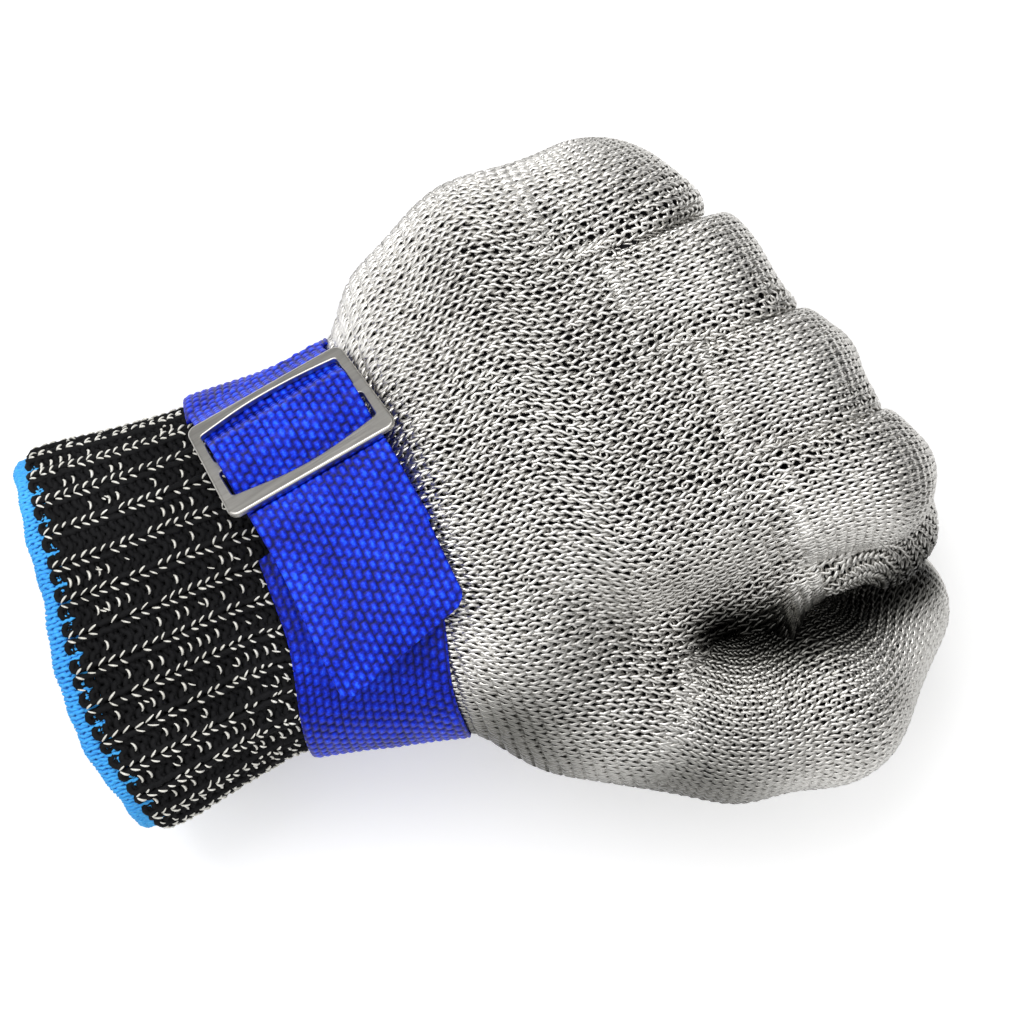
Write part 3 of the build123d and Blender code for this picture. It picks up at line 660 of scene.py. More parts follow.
def contour(x):
    """Points round the section of the palm at x: index 0 on the little finger side, NC/2 on the thumb side, back first."""
    th = np.linspace(0, 2 * pi, NC, endpoint=False)
    c = np.array([x, -4.0 if x < 100 else 0.0, 6.0])
    p = np.stack([np.full(NC, x), c[1] + 78 * np.cos(th), c[2] + 50 * np.sin(th)], 1)
    for it in range(70):
        d = palm_sdf(p)
        e = 0.05
        gy = (palm_sdf(p + [0, e, 0]) - palm_sdf(p - [0, e, 0])) / (2 * e)
        gz = (palm_sdf(p + [0, 0, e]) - palm_sdf(p - [0, 0, e])) / (2 * e)
        g = np.sqrt(gy * gy + gz * gz) + 1e-6
        g2 = np.maximum(g, 0.35)
        move = np.clip(d, -6, 6) * 0.7
        p[:, 1] -= move * gy / g / g2 * g2
        p[:, 2] -= move * gz / g / g2 * g2
        if it < 60:
            q = np.vstack([p, p[:1]])
            s = np.concatenate([[0], np.cumsum(np.linalg.norm(np.diff(q, axis=0), axis=1))])
            at = np.linspace(0, s[-1], NC, endpoint=False)
            p = np.stack([np.interp(at, s, q[:, i]) for i in range(3)], 1)
    # anchors
    right = p[:, 1] > p[:, 1].mean()
    ir = np.argmin(np.where(right & (p[:, 1] > p[:, 1].max() - 12), np.abs(p[:, 2] - z_anchor(x, 1)), 1e9))
    left = p[:, 1] < p[:, 1].min() + 12
    il = np.argmin(np.where(left, np.abs(p[:, 2] - z_anchor(x, -1)), 1e9))
    p = np.roll(p, -ir, 0)
    il = (il - ir) % NC
    halves = []
    for a, bq in ((0, il), (il, NC)):
        q = np.vstack([p, p[:1]])[a : bq + 1]
        s = np.concatenate([[0], np.cumsum(np.linalg.norm(np.diff(q, axis=0), axis=1))])
        at = np.linspace(0, s[-1], NC // 2, endpoint=False)
        halves.append(np.stack([np.interp(at, s, q[:, i]) for i in range(3)], 1))
    return np.vstack(halves)


Q = []
for x in PX:
    w = float(smooth(x, 55.0, 66.0))
    ring = contour(x) if w > 0 else 0.0
    if w < 1:
        ring = ring_even(x, -0.55, NC) * (1 - w) + ring * w
    Q.append(ring)
Q = np.stack(Q)  # stations, NC, 3
for _ in range(2):  # even out the anchors along the hand
    Q[1:-1, :, 1:] = Q[1:-1, :, 1:] * 0.5 + (Q[:-2, :, 1:] + Q[2:, :, 1:]) * 0.25


def keep_lines(q, ref):
    """Lets the wales of q run on at the y they have in ref, where the section still reaches that far."""
    half = NC // 2
    out = q.copy()
    for a in (0, half):
        loop = np.vstack([q, q[:1]])[a : a + half + 1]
        s = np.concatenate([[0], np.cumsum(np.linalg.norm(np.diff(loop, axis=0), axis=1))])
        yy = loop[:, 1]
        want = ref[a : a + half, 1]
        if a == 0:  # y falls
            m = np.minimum.accumulate(yy)
            free = (want < m.min() + 3.5)
            pos = np.interp(-want, -m, s)
            first = np.argmax(free) if free.any() else half
            if first < half:
                pos[first:] = np.linspace(pos[first - 1], s[-1], half - first + 2)[1:-1]
        else:  # y rises
            m = np.maximum.accumulate(yy)
            free = (want < m.min() + 3.5)
            pos = np.interp(want, m, s)
            nfree = int(np.argmin(free)) if free.any() else 0
            if nfree:
                pos[:nfree] = np.linspace(0, pos[nfree], nfree + 1)[:-1]
        pos = np.maximum.accumulate(pos)
        # never closer than a fraction of the even spacing
        even = np.linspace(0, s[-1], half, endpoint=False)
        pos = pos * 0.93 + even * 0.07
        out[a : a + half] = np.stack([np.interp(pos, s, loop[:, i]) for i in range(3)], 1)
    return out


i_ref = int((90.0 - PX[0]) / STEP_X)
REF = Q[i_ref].copy()
for i in range(i_ref + 1, len(PX)):
    Q[i] = keep_lines(Q[i], REF)
for _ in range(4):
    a_, z_ = i_ref - 2, len(PX) - 1
    Q[a_:z_, :, 1:] = Q[a_:z_, :, 1:] * 0.5 + (Q[a_ - 1 : z_ - 1, :, 1:] + Q[a_ + 1 : z_ + 1, :, 1:]) * 0.25
N_PALM = 126
cols = np.arange(N_PALM) * NC / N_PALM
c0 = np.floor(cols).astype(int)
cf = (cols - c0)[None, :, None]
Qw = Q[:, c0 % NC] * (1 - cf) + Q[:, (c0 + 1) % NC] * cf  # stations, wales, 3

BORDERS = [-9.25, 11.25, 30.75]
BACK_END = {"index": 119.0, "middle": 112.5, "ring": 103.0, "little": 94.5}
COURSE = 1.86


def end_at(y, back):
    """Where the palm's fabric hands over to the finger stalls."""
    out = np.where(y < BORDERS[0] + 2.0, 119.0, np.where(y < BORDERS[1] + 2.2, 112.5, np.where(y < BORDERS[2] + 3.2, 103.0, 94.5)))
    return out + np.where(back, 0.0, 2.5)


X_START = 43.6
K_PALM = int((121.5 - X_START) / COURSE)
xs = np.repeat((X_START + COURSE * np.arange(K_PALM))[:, None], N_PALM, 1)
fi = np.clip((xs - PX[0]) / STEP_X, 0, len(PX) - 1.001)
i0 = fi.astype(int)
ff = (fi - i0)[..., None]
wi = np.arange(N_PALM)[None, :]
PALM = Qw[i0, wi] * (1 - ff) + Qw[i0 + 1, wi] * ff
PALM[..., 0] = xs
PALM_N = normals_of(PALM)
if (PALM_N[5, :, 2] * (PALM[5, :, 2] - 6)).sum() < 0:
    PALM_N = -PALM_N
X_ROW = (X_START + COURSE * np.arange(K_PALM))[:, None]

T_DIR0 = unit(np.array(THUMB_MCP) - np.array(THUMB_IN))


def thumb_inside(p):
    """True for palm points that the thumb's own stall covers."""
    s = (p - np.array(THUMB_MCP)) @ T_DIR0
    axis = np.array(THUMB_MCP) + s[..., None] * T_DIR0
    dist = np.linalg.norm(p - axis, axis=-1)
    r = 13.9 - s * (18.2 - 13.9) / 46.7
    on_cone = (s > -9.5 + 1.3 * np.sin(p[..., 1] * 0.9 + p[..., 2] * 1.3)) & (dist < r + 0.9)
    tube = union(p, THUMB, 0.5) < -0.2
    return on_cone | tube


parts = Parts()
v_, f_, w_ = knit(PALM, PALM_N, np.arange(0, K_PALM), 10, 0.365, 4, a=0.27, d=0.42, jitter=0.10, keep_fn=lambda p: ~thumb_inside(p) & (X_ROW <= end_at(p[..., 1], p[..., 2] > 6.0) + 0.4))
v_, f_, w_ = drop_loose(v_, f_, np.zeros(len(v_)))
palm_knit = mesh_object("palm_knit", v_, f_, STEEL)
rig.ride(palm_knit, "hand")
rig.replaces(palm_knit, "hand_mesh")
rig.slot(palm_knit, "knitted_steel")

# the dark liner under it
inner = PALM - PALM_N * 1.05
faces = grid_faces(K_PALM, N_PALM, True)
row_of = faces[:, 0] // N_PALM
fy_ = inner.reshape(-1, 3)[faces[:, 0]]
faces = faces[(X_START + COURSE * row_of) <= end_at(fy_[:, 1], fy_[:, 2] > 6.0) + 4.0]
v_, f_, w_ = drop_loose(inner.reshape(-1, 3), faces, np.zeros(K_PALM * N_PALM))
palm_liner = mesh_object("palm_liner", v_, f_, LINER)
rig.ride(palm_liner, "hand")
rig.replaces(palm_liner, "hand_liner")
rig.slot(palm_liner, "dark_liner")

# ------------------------------------------------------------------- fingers
SPACING = {"index": (99.0, 10.15), "middle": (10.15, 10.15), "ring": (10.15, 9.2), "little": (9.2, 99.0)}


class Digit:
    """A finger stall drawn straight and then bent the way the joints bend it."""

    def __init__(self, name, joints, start, total, radii, knots, zones, angles):
        self.name, self.joints, self.start, self.total = name, joints, start, total
        self.radii, self.knots, self.zones, self.angles = radii, knots, zones, angles

    def radius(self, s):
        r = np.interp(s, self.knots, self.radii)
        over = np.clip(s - self.total, 0, self.radii[-1] * 0.999)
        return np.where(s > self.total, np.sqrt(np.maximum(self.radii[-1] ** 2 - over ** 2, 0.01)), r)

    def weights(self, s):
        out = []
        for pos, half in self.zones:
            out.append(smooth(s, pos - half, pos + half))
        return out

    def bend(self, p, s):
        w = self.weights(s)
        for (pivot, axis), ang, wi_ in reversed(list(zip(self.straight_joints, self.angles, w))):
            p = rotate(p, pivot, axis, ang * wi_)
        return p


def build_digit(name, dig, centre_fn, frame_fn, n_wales, course, project, body_names, cad, radius=0.365, samples=9, surf=None):
    s_fine = np.arange(dig.start, dig.total + dig.radii[-1] * 0.80, 0.5)
    phi0 = np.array([pi / 2])

    def surface(s, phi):
        """Rest surface for arrays s (K,1) or (K,N) and phi (N,)."""
        s = np.asarray(s, float)
        c = centre_fn(s)
        side, up = frame_fn(s)
        d = side * np.cos(phi)[None, :, None] + up * np.sin(phi)[None, :, None]
        tip = c + d
        cb = dig.bend(c, s)
        db = dig.bend(tip, s) - cb
        db = unit(db)
        r = dig.radius(s)
        reach = project(cb, db, r, s, phi)
        return cb + db * reach[..., None]

    def full(sk, phi):
        s = np.repeat(sk[:, None], len(phi), 1)
        return surface(s + shift(s, phi), phi)

    shift = dig.shift
    line = full(s_fine, phi0)[:, 0]
    length = np.concatenate([[0], np.cumsum(np.linalg.norm(np.diff(line, axis=0), axis=1))])
    n_c = int(length[-1] / course)
    s_k = np.interp(np.linspace(0, length[-1], n_c + 1), length, s_fine)
    phi = np.arange(n_wales) * 2 * pi / n_wales
    G = full(s_k, phi)
    for _ in range(2):
        G[1:-1] = G[1:-1] * 0.6 + (G[:-2] + G[2:]) * 0.2
    G[:, :] = G * 0.84 + (np.roll(G, 1, 1) + np.roll(G, -1, 1)) * 0.08
    S = np.repeat(s_k[:, None], n_wales, 1)
    NN = normals_of(G)
    cb = dig.bend(centre_fn(S), S)
    if ((G - cb) * NN).sum() < 0:
        NN = -NN
    ws = dig.weights(s_k)
    pieces = []
    cuts = dig.cuts
    for i in range(len(cuts) - 1):
        lo, hi = cuts[i], cuts[i + 1]
        rows_ = np.where((s_k >= lo) & (s_k < hi))[0]
        if i == len(cuts) - 2:
            rows_ = np.where(s_k >= lo)[0]
        p = Parts()
        w_row = ws[i]
        v1, f1, w1 = knit(G, NN, rows_, samples, radius, 4, a=0.27, d=0.40, w_row=w_row, jitter=0.09)
        p.add(v1, f1, w1)
        if i == len(cuts) - 2:
            # fingertip: fewer wales towards the pole
            g_tip = tip_grid(dig, centre_fn, frame_fn, s_k[-1], n_wales // 2, surf=surf)
            n_tip = normals_of(g_tip)
            if ((g_tip - g_tip.mean((0, 1))) * n_tip).sum() < 0:
                n_tip = -n_tip
            v1, f1, w1 = knit(g_tip, n_tip, np.arange(0, len(g_tip)), samples, radius, 4, w_row=np.ones(len(g_tip)) * 1.0, jitter=0.03)
            p.add(v1, f1, w1)
        v1, f1, w1 = p.data()
        v1, f1, w1 = drop_loose(v1, f1, w1)
        ob = mesh_object(f"{name}_knit_{cad[i]}", v1, f1, STEEL)
        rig.blend(ob, body_names[i], body_names[i + 1], start=tuple(row(G[rows_[0]].mean(0))), end=tuple(row(G[rows_[-1]].mean(0))))
        set_weights(ob, w1)
        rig.replaces(ob, f"{name}_mesh_{cad[i]}")
        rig.slot(ob, "knitted_steel")
        # liner
        a, z = rows_[0], rows_[-1] + 1
        a2 = max(0, a - 1) if i else a
        z2 = min(len(G), z + 1)
        lin = G[a2:z2] - NN[a2:z2] * 0.85
        p = Parts()
        step = 2
        lin_s = lin[:, ::step] if n_wales % step == 0 else lin
        p.add(lin_s, grid_faces(lin_s.shape[0], lin_s.shape[1], True), np.repeat(w_row[a2:z2], lin_s.shape[1]))
        if i == len(cuts) - 2:
            gt = tip_grid(dig, centre_fn, frame_fn, s_k[-1], n_wales // 2, 0.85, 88.0, surf=surf)
            p.add(gt, grid_faces(gt.shape[0], gt.shape[1], True), 1.0)
        v1, f1, w1 = p.data()
        ob = mesh_object(f"{name}_liner_{cad[i]}_cloth", v1, f1, LINER)
        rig.blend(ob, body_names[i], body_names[i + 1], start=tuple(row(G[rows_[0]].mean(0))), end=tuple(row(G[rows_[-1]].mean(0))))
        set_weights(ob, w1)
        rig.replaces(ob, f"{name}_liner_{cad[i]}")
        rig.slot(ob, "dark_liner")
        pieces.append(ob)
    return G


def tip_grid(dig, centre_fn, frame_fn, s_from, n, inset=0.0, to=80.0, surf=None):
    r3 = dig.radii[-1] - inset
    a0 = np.arcsin(np.clip((s_from - dig.total) / dig.radii[-1], 0, 1))
    ang = np.linspace(a0, radians(to), max(3, int((radians(to) - a0) * r3 / 1.5) + 2))
    phi = np.arange(n) * 2 * pi / n
    s = dig.total + np.sin(ang) * r3
    S = np.repeat(s[:, None], n, 1)
    c = centre_fn(S)
    side, up = frame_fn(S)
    rad = (np.cos(ang) * r3)[:, None, None]
    p = c + (side * np.cos(phi)[None, :, None] + up * np.sin(phi)[None, :, None]) * rad
    p = dig.bend(p, S)
    if surf is not None:  # start on the volume's skin, end on the round tip
        cb = dig.bend(c, S)
        r = np.linalg.norm(p - cb, axis=-1)
        db = (p - cb) / r[..., None]
        reach = np.clip(ray_out(cb, db, surf, r * 1.6), r * 0.7, r * 1.6) - inset
        k = (1 - smooth(ang, a0 + 0.05, a0 + 0.40))[:, None]
        p = cb + db * (r + (reach - r) * k)[..., None]
    return p


def ray_out(origin, direction, sdf, limit, steps=26):
    """Distance from inside points to where the volume ends, at most limit."""
    lo = np.zeros(origin.shape[:-1])
    hi = np.array(limit, float) * np.ones_like(lo)
    # coarse march to the first exit
    best = hi.copy()
    found = np.zeros(lo.shape, bool)
    n = 18
    prev = np.zeros_like(lo)
    for i in range(1, n + 1):
        t = hi * i / n
        out = sdf(origin + direction * t[..., None]) > 0
        new = out & ~found
        best = np.where(new, t, best)
        prev = np.where(found | new, prev, t)
        found |= out
    a, b_ = prev, best
    for _ in range(9):
        m = (a + b_) / 2
        out = sdf(origin + direction * m[..., None]) > 0
        b_ = np.where(out & found, m, b_)
        a = np.where(out & found, a, np.where(found, m, a))
    return np.where(found, (a + b_) / 2, hi)


for f, (mcp, yaw, lengths, bends, rr) in FINGERS.items():
    mcp = np.array(mcp, float)
    y = radians(yaw)
    fx, fy, fz = np.array([cos(y), sin(y), 0]), np.array([-sin(y), cos(y), 0]), np.array([0, 0, 1.0])
    l1, l2, l3 = lengths
    total = float(l1 + l2 + l3)
    half = (15.0, 12.0, 9.0) if f != "little" else (13.0, 10.5, 7.5)
    dig = Digit(f, None, -15.0, total, (rr[0], rr[0], rr[1], rr[2], rr[3]), (-20.0, 0.0, l1, l1 + l2, total), ((0.0, half[0]), (float(l1), half[1]), (float(l1 + l2), half[2])), [radians(a) for a in bends])
    dig.straight_joints = [(mcp, fy), (mcp + l1 * fx, fy), (mcp + (l1 + l2) * fx, fy)]
    dig.cuts = (-99.0, l1 * 0.5, l1 + l2 * 0.5, 999.0)
    lat = SPACING[f]

    def centre_fn(s, mcp=mcp, fx=fx):
        return mcp + np.asarray(s)[..., None] * fx

    def frame_fn(s, fy=fy, fz=fz):
        s = np.asarray(s)
        return np.broadcast_to(fy, (*s.shape, 3)), np.broadcast_to(fz, (*s.shape, 3))

    dig.shift = lambda s, phi: s * 0

    def project(cb, db, r, s, phi, lat=lat, rr=rr):
        cphi, sphi = np.cos(phi)[None, :], np.sin(phi)[None, :]
        side_room = np.where(cphi > 0, lat[1], lat[0])
        room = side_room / np.maximum(np.abs(cphi), 1e-3) - 0.04
        outer = (side_room > 50) & (s < 10)
        limit = np.where(outer, r * 1.75, r * 1.42)
        limit = np.where(s < 0, np.maximum(limit, r * 1.5), limit)
        d = ray_out(cb, db, rest_sdf, limit)
        d = np.clip(d, r * 0.72, limit)
        up = smooth(sphi, -0.35, 0.25) * np.ones_like(s)
        up = np.where(outer, smooth(sphi, -0.95, -0.35), up)
        fade = smooth(s, l1 * 0.85 + 20, l1 * 0.85 + 34)
        d = r + (d - r) * up * (1 - fade)
        return np.minimum(d, room)

    build_digit(f, dig, centre_fn, frame_fn, 42, 1.84, project, ["hand", f + "_proximal", f + "_middle", f + "_distal"], ("proximal", "middle", "tip"))

# --------------------------------------------------------------------- thumb
J1, A1 = JOINTS["thumb_knuckle"]
J2, A2 = JOINTS["thumb_end_joint"]
t_mcp, t_ip, t_tip = np.array(THUMB_MCP), np.array(THUMB_IP), np.array(THUMB_TIP)
d0 = T_DIR0
d1, d2 = unit(t_ip - t_mcp), unit(t_tip - t_ip)


def turn_about(axis, a, b_):
    pa, pb = a - axis * (a @ axis), b_ - axis * (b_ @ axis)
    return atan2(np.cross(pa, pb) @ axis, pa @ pb)


th1, th2 = turn_about(A1, d0, d1), turn_about(A1, d1, d2)
e1 = rotate(d1, np.zeros(3), A1, np.array(-th1))
ip_s = t_mcp + e1 * np.linalg.norm(t_ip - t_mcp)
e2 = rotate(d2, np.zeros(3), A1, np.array(-th1 - th2))
len1, len2 = np.linalg.norm(t_ip - t_mcp), np.linalg.norm(t_tip - t_ip)
dig = Digit("thumb", None, -13.0, len1 + len2, (15.2, 13.9, 13.2, 10.8), (-13.0, 0.0, len1, len1 + len2), ((0.0, 12.0), (len1, 9.5)), [th1, th2])
dig.straight_joints = [(t_mcp, A1), (ip_s, A1)]
dig.cuts = (-99.0, len1 * 0.5, 999.0)
dig.shift = lambda s, phi: s * 0
ss = np.arange(-20, len1 + len2 + 14, 0.25)
a = smooth(ss, -6, 6)[:, None]
b2 = smooth(ss, len1 - 6, len1 + 6)[:, None]
tang = unit(d0 * (1 - a) + e1 * a * (1 - b2) + e2 * a * b2)
cl = np.cumsum(tang * 0.25, 0)
cl = cl - cl[np.argmin(np.abs(ss))] + t_mcp


def t_centre(s):
    return np.stack([np.interp(s, ss, cl[:, i]) for i in range(3)], -1)


def t_frame(s):
    t = np.stack([np.interp(s, ss, tang[:, i]) for i in range(3)], -1)
    t = unit(t)
    side = unit(A1 - t * (t @ A1)[..., None])
    return side, np.cross(t, side)


def t_project(cb, db, r, s, phi):
    vol = lambda p: smin(hand_sdf(p, False), union(p, THENAR + THUMB, 1.0), 11.0)
    own = lambda p: union(p, THENAR + THUMB, 1.0)
    d = ray_out(cb, db, own, r * 1.3)
    d = np.clip(d, r * 0.70, r * 1.3)
    first = 1 - smooth(s, -11, -2)
    out_side = smooth(np.sin(phi), -0.6, 0.1)[None, :]
    d_all = np.clip(ray_out(cb, db, vol, r * 1.5), r * 0.8, r * 1.5)
    d = d + (d_all - d) * first * out_side
    return d


THUMB_G = build_digit("thumb", dig, t_centre, t_frame, 52, 1.84, t_project, ["hand", "thumb_proximal", "thumb_distal"], ("proximal", "tip"), surf=lambda p: union(p, THENAR + THUMB, 1.0))

# ----------------------------------------------------------------- the cuff
def bow(p):
    """The opening bows out over the back of the wrist."""
    q = p.copy()
    back_side = smooth(p[..., 2], -14.0, 12.0)
    q[..., 0] -= 3.3 * np.exp(-(((p[..., 1] + 11.0) / 17.0) ** 2)) * back_side * (1 - smooth(p[..., 0], -4.0, 15.0))
    return q


WALES = 60
K_CUFF = 28
cx_ = np.linspace(0.2, 44.6, K_CUFF)
CUFF = bow(np.stack([ring_even(x, -1.15, WALES) for x in cx_]))
CUFF_N = normals_of(CUFF)
if ((CUFF - CUFF.mean((0, 1))) * CUFF_N)[..., 1:].sum() < 0:
    CUFF_N = -CUFF_N
v_, f_, _ = knit(CUFF, CUFF_N, np.arange(K_CUFF), 12, 0.60, 6, a=0.15, b=0.80, d=0.42, jitter=0.04, rib=0.46)
p = Parts()
p.add(v_, f_)
# a second black strand beside it fills the yarn out
v_, f_, _ = knit(CUFF, CUFF_N, np.arange(K_CUFF) + 0.32, 12, 0.46, 5, a=0.15, b=0.74, d=0.36, jitter=0.05, rib=0.38, sink=0.28)
p.add(v_, f_)
v_, f_, _ = p.data()
cuff_yarn = mesh_object("cuff_rib_yarn", v_, f_, BLACK)
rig.ride(cuff_yarn, "hand")
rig.replaces(cuff_yarn, "rib_cuff")
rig.slot(cuff_yarn, "rib_knit")

inner = bow(np.stack([ring_even(x, -2.05, 144) for x in np.linspace(0.4, 44.8, 26)]))
cuff_back = mesh_object("cuff_rib_backing", inner.reshape(-1, 3), grid_faces(26, 144, True), BLACK)
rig.ride(cuff_back, "hand")
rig.slot(cuff_back, "rib_knit")


def strand(courses, lo, hi, wales, m, lift, rad, a=0.15, b=0.80, d=0.42, rib=0.48):
    """Short pieces of the steel strand that show on the face: t runs lo..hi on each listed (course, wale)."""
    k = np.asarray([c for c in courses], float)[:, None]
    j = np.asarray(wales, float)[:, None]
    t = np.linspace(lo, hi, m)[None, :]
    u = t / (2 * pi) + a * np.sin(2 * t)
    kk = k - b * np.cos(t) + rng.normal(0, 0.04, (len(k), 1))
    jj = j + u + rng.normal(0, 0.03, (len(k), 1))
    q = np.cos(pi * (jj - 0.5))
    c = -d * np.cos(2 * t) * q + rib * q
    pt, nn = sample_grid(CUFF, kk, jj), unit(sample_grid(CUFF_N, kk, jj))
    path = pt + nn * (c + lift)[..., None]
    taper = np.sin(np.linspace(0.12, pi - 0.12, m)) ** 0.5
    r = rad * taper[None, :] * (1 + rng.normal(0, 0.10, (len(k), 1)))
    v, f, _ = tube_strips(path, nn, r, 5, False)
    return v, f


def vee(k, j, side, wild, m=7, rad=0.20):
    """One leg of each V that the strand draws on the face wales, apex towards the opening."""
    n_ = len(k)
    t = np.linspace(0, 1, m)[None, :]
    off0 = rng.normal(0.06, 0.02, (n_, 1))
    off1 = rng.normal(0.33, 0.05, (n_, 1)) * (1 - 0.35 * wild[:, None] * rng.random((n_, 1)))
    start = -0.48 + rng.normal(0, 0.05, (n_, 1)) + wild[:, None] * rng.normal(0, 0.22, (n_, 1))
    long_ = (0.66 + rng.normal(0, 0.08, (n_, 1))) * (1 - 0.45 * wild[:, None] * rng.random((n_, 1)))
    delta = off0 + (off1 - off0) * t ** 0.85
    kk = k[:, None] + start + long_ * t
    jj = j[:, None] + 0.5 + side * delta + wild[:, None] * rng.normal(0, 0.10, (n_, 1))
    c = 0.80 + 0.46 * np.sin(2 * pi * np.clip(delta, 0, 0.5)) - 0.7 * np.maximum(delta - 0.3, 0)
    pt, nn = sample_grid(CUFF, kk, jj), unit(sample_grid(CUFF_N, kk, jj))
    path = pt + nn * c[..., None]
    taper = np.sin(np.linspace(0.25, pi - 0.25, m)) ** 0.6
    r = rad * taper[None, :] * (1 + rng.normal(0, 0.12, (n_, 1)))
    v, f, _ = tube_strips(path, nn, r, 5, False)
    return v, f


def unruly(k, j):
    """0..1: how irregular the strand is; most on the thumb side near the strap."""
    at = CUFF[np.clip(k, 0, K_CUFF - 1), j % WALES]
    return smooth(at[:, 0], 6.0, 34.0) * smooth(-at[:, 1], -4.0, 20.0)


kn = np.array([(k, j) for k in range(K_CUFF) for j in range(0, WALES, 2)])
pu = np.array([(k, j) for k in range(K_CUFF) for j in range(1, WALES, 2)])
p = Parts()
for side in (-1.0, 1.0):
    wild = unruly(kn[:, 0], kn[:, 1])
    shown = rng.random(len(kn)) < 0.90 - 0.20 * wild
    ks, js = kn[shown].T
    p.add(*vee(ks.astype(float), js.astype(float), side, wild[shown]))
# the strand shows on the purl wales in runs: mostly on the thumb side and under the hand
ks, js = pu.T
wild = unruly(ks, js)
run = np.clip(0.5 + 0.8 * np.sin(js * 2.3 + ks * 0.55), 0, 1)
shown = rng.random(len(pu)) < 0.16 + 0.42 * run + 0.30 * wild
p.add(*strand(ks[shown], 0.76 * pi, 1.24 * pi, js[shown], 7, 0.68, 0.235))
# stray glints between the ribs
glint = rng.random(len(pu)) < 0.16 + 0.60 * wild
ks2, js2 = pu[glint].T
p.add(*vee(ks2 + rng.normal(0, 0.3, len(ks2)), js2 - 0.15 + rng.normal(0, 0.1, len(ks2)), 1.0, np.full(len(ks2), 0.9), rad=0.16))
v_, f_, _ = p.data()
cuff_strand = mesh_object("cuff_steel_strand", v_, f_, WHITE)
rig.ride(cuff_strand, "hand")
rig.slot(cuff_strand, "knitted_steel")

# --------------------------------------------------- light blue lining and hem
prof = []
for x in np.arange(0.5, -2.6, -1.05):
    prof.append((x, -1.55))
for ang in np.linspace(90, 270, 6)[1:-1]:
    prof.append((-2.6 + 1.15 * cos(radians(ang)), -2.45 + 0.95 * sin(radians(ang))))
prof += [(x, -3.15) for x in np.arange(-2.2, 3.4, 1.05)]
N_HEM = 106
wave = 0.22 * np.sin(np.arange(N_HEM) * 2 * pi * 9 / N_HEM) + 0.16 * np.sin(np.arange(N_HEM) * 2 * pi * 23 / N_HEM + 1.0)
HEM = []
for x, off in prof:
    r = ring_even(max(x, -4.0), off, N_HEM)
    r[:, 0] = x - wave * (1.0 if x < 1 else 0.3)
    HEM.append(r)
HEM = bow(np.stack(HEM))
HEM_N = normals_of(HEM)
if (HEM_N[1, :, 2] * (HEM[1, :, 2])).sum() < 0:
    HEM_N = -HEM_N
p = Parts()
v_, f_, _ = knit(HEM, HEM_N, np.arange(len(prof)), 9, 0.34, 5, a=0.22, b=0.82, d=0.26, jitter=0.07, sink=0.10)
p.add(v_, f_)
v_, f_, _ = p.data()
hem = mesh_object("cuff_hem_knit", v_, f_, BLUE_KNIT)
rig.ride(hem, "hand")
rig.replaces(hem, "cuff_hem")
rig.slot(hem, "blue_lining")
back = HEM - HEM_N * 0.32
hem_b = mesh_object("cuff_hem_backing", back.reshape(-1, 3), grid_faces(len(prof), N_HEM, True), BLUE_BACK)
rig.ride(hem_b, "hand")
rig.slot(hem_b, "blue_lining")

lx = np.arange(2.6, 44.4, 1.25)
N_LIN = 116
LIN = bow(np.stack([ring_even(x, -3.0, N_LIN) for x in lx]))
LIN_N = -normals_of(LIN)
if (LIN_N[3, :, 2] * (LIN[3, :, 2] - 1)).sum() > 0:
    LIN_N = -LIN_N
v_, f_, _ = knit(LIN, LIN_N, np.arange(len(lx)), 8, 0.30, 4, a=0.17, b=0.82, d=0.20, jitter=0.05)
lining = mesh_object("cuff_lining_knit", v_, f_, BLUE_KNIT)
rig.ride(lining, "hand")
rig.replaces(lining, "cuff_lining")
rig.slot(lining, "blue_lining")
back = LIN - LIN_N * 0.30
lin_b = mesh_object("cuff_lining_backing", back.reshape(-1, 3), grid_faces(len(lx), N_LIN, True), BLUE_BACK)
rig.ride(lin_b, "hand")
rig.slot(lin_b, "blue_lining")

# ------------------------------------------------------------ webbing strap
WEB_T, WEB_LIFT, STRAP_X = 1.05, 0.5, (27.6, 54.2)
st, ct = sin(radians(32.0)), cos(radians(32.0))
s12, c12 = sin(radians(12.0)), cos(radians(12.0))
E1 = np.array([c12, s12 * ct, -s12 * st])
E2 = np.array([-s12, c12 * ct, -c12 * st])
EN = np.array([0.0, st, ct])
SC = np.array([44.1, 21.2, 27.75])


def local(u, v, w):
    return SC + u[..., None] * E1 + v[..., None] * E2 + w[..., None] * EN


def inside(pt, off):
    yc, zc, ay, az, n = outline(pt[0])
    return (abs(pt[1] - yc) / (ay + off)) ** n + (abs(pt[2] - zc) / (az + off)) ** n < 1


def height(u, v, off):
    base = SC + E1 * u + E2 * v
    lo, hi = -34.0, 25.0
    for _ in range(22):
        m = (lo + hi) / 2
        if inside(base + EN * m, off):
            lo = m
        else:
            hi = m
    return lo


def ring_top(v, off):
    return max(height(u, v, off) for u in (-12.8, -6.4, 0.0, 6.4, 12.8))


def weave(u, v):
    """Height 0..1 of the woven face: floats 1.7 wide and 2.3 long, staggered."""
    col = np.floor(u / 1.36)
    fu = u / 1.36 - col - 0.5
    vv = v / 1.95 + 0.5 * (col % 2) + 0.10 * np.sin(col * 12.9898)
    fv = vv - np.floor(vv) - 0.5
    a = np.clip(1 - (np.abs(fu) * 2) ** 2.0, 0, 1) ** 0.6
    b_ = np.clip(1 - (np.abs(fv) * 2) ** 2.4, 0, 1) ** 0.7
    dip = 0.12 * np.cos(2 * pi * fu * 2)
    return a * b_ + dip * b_ * 0.4


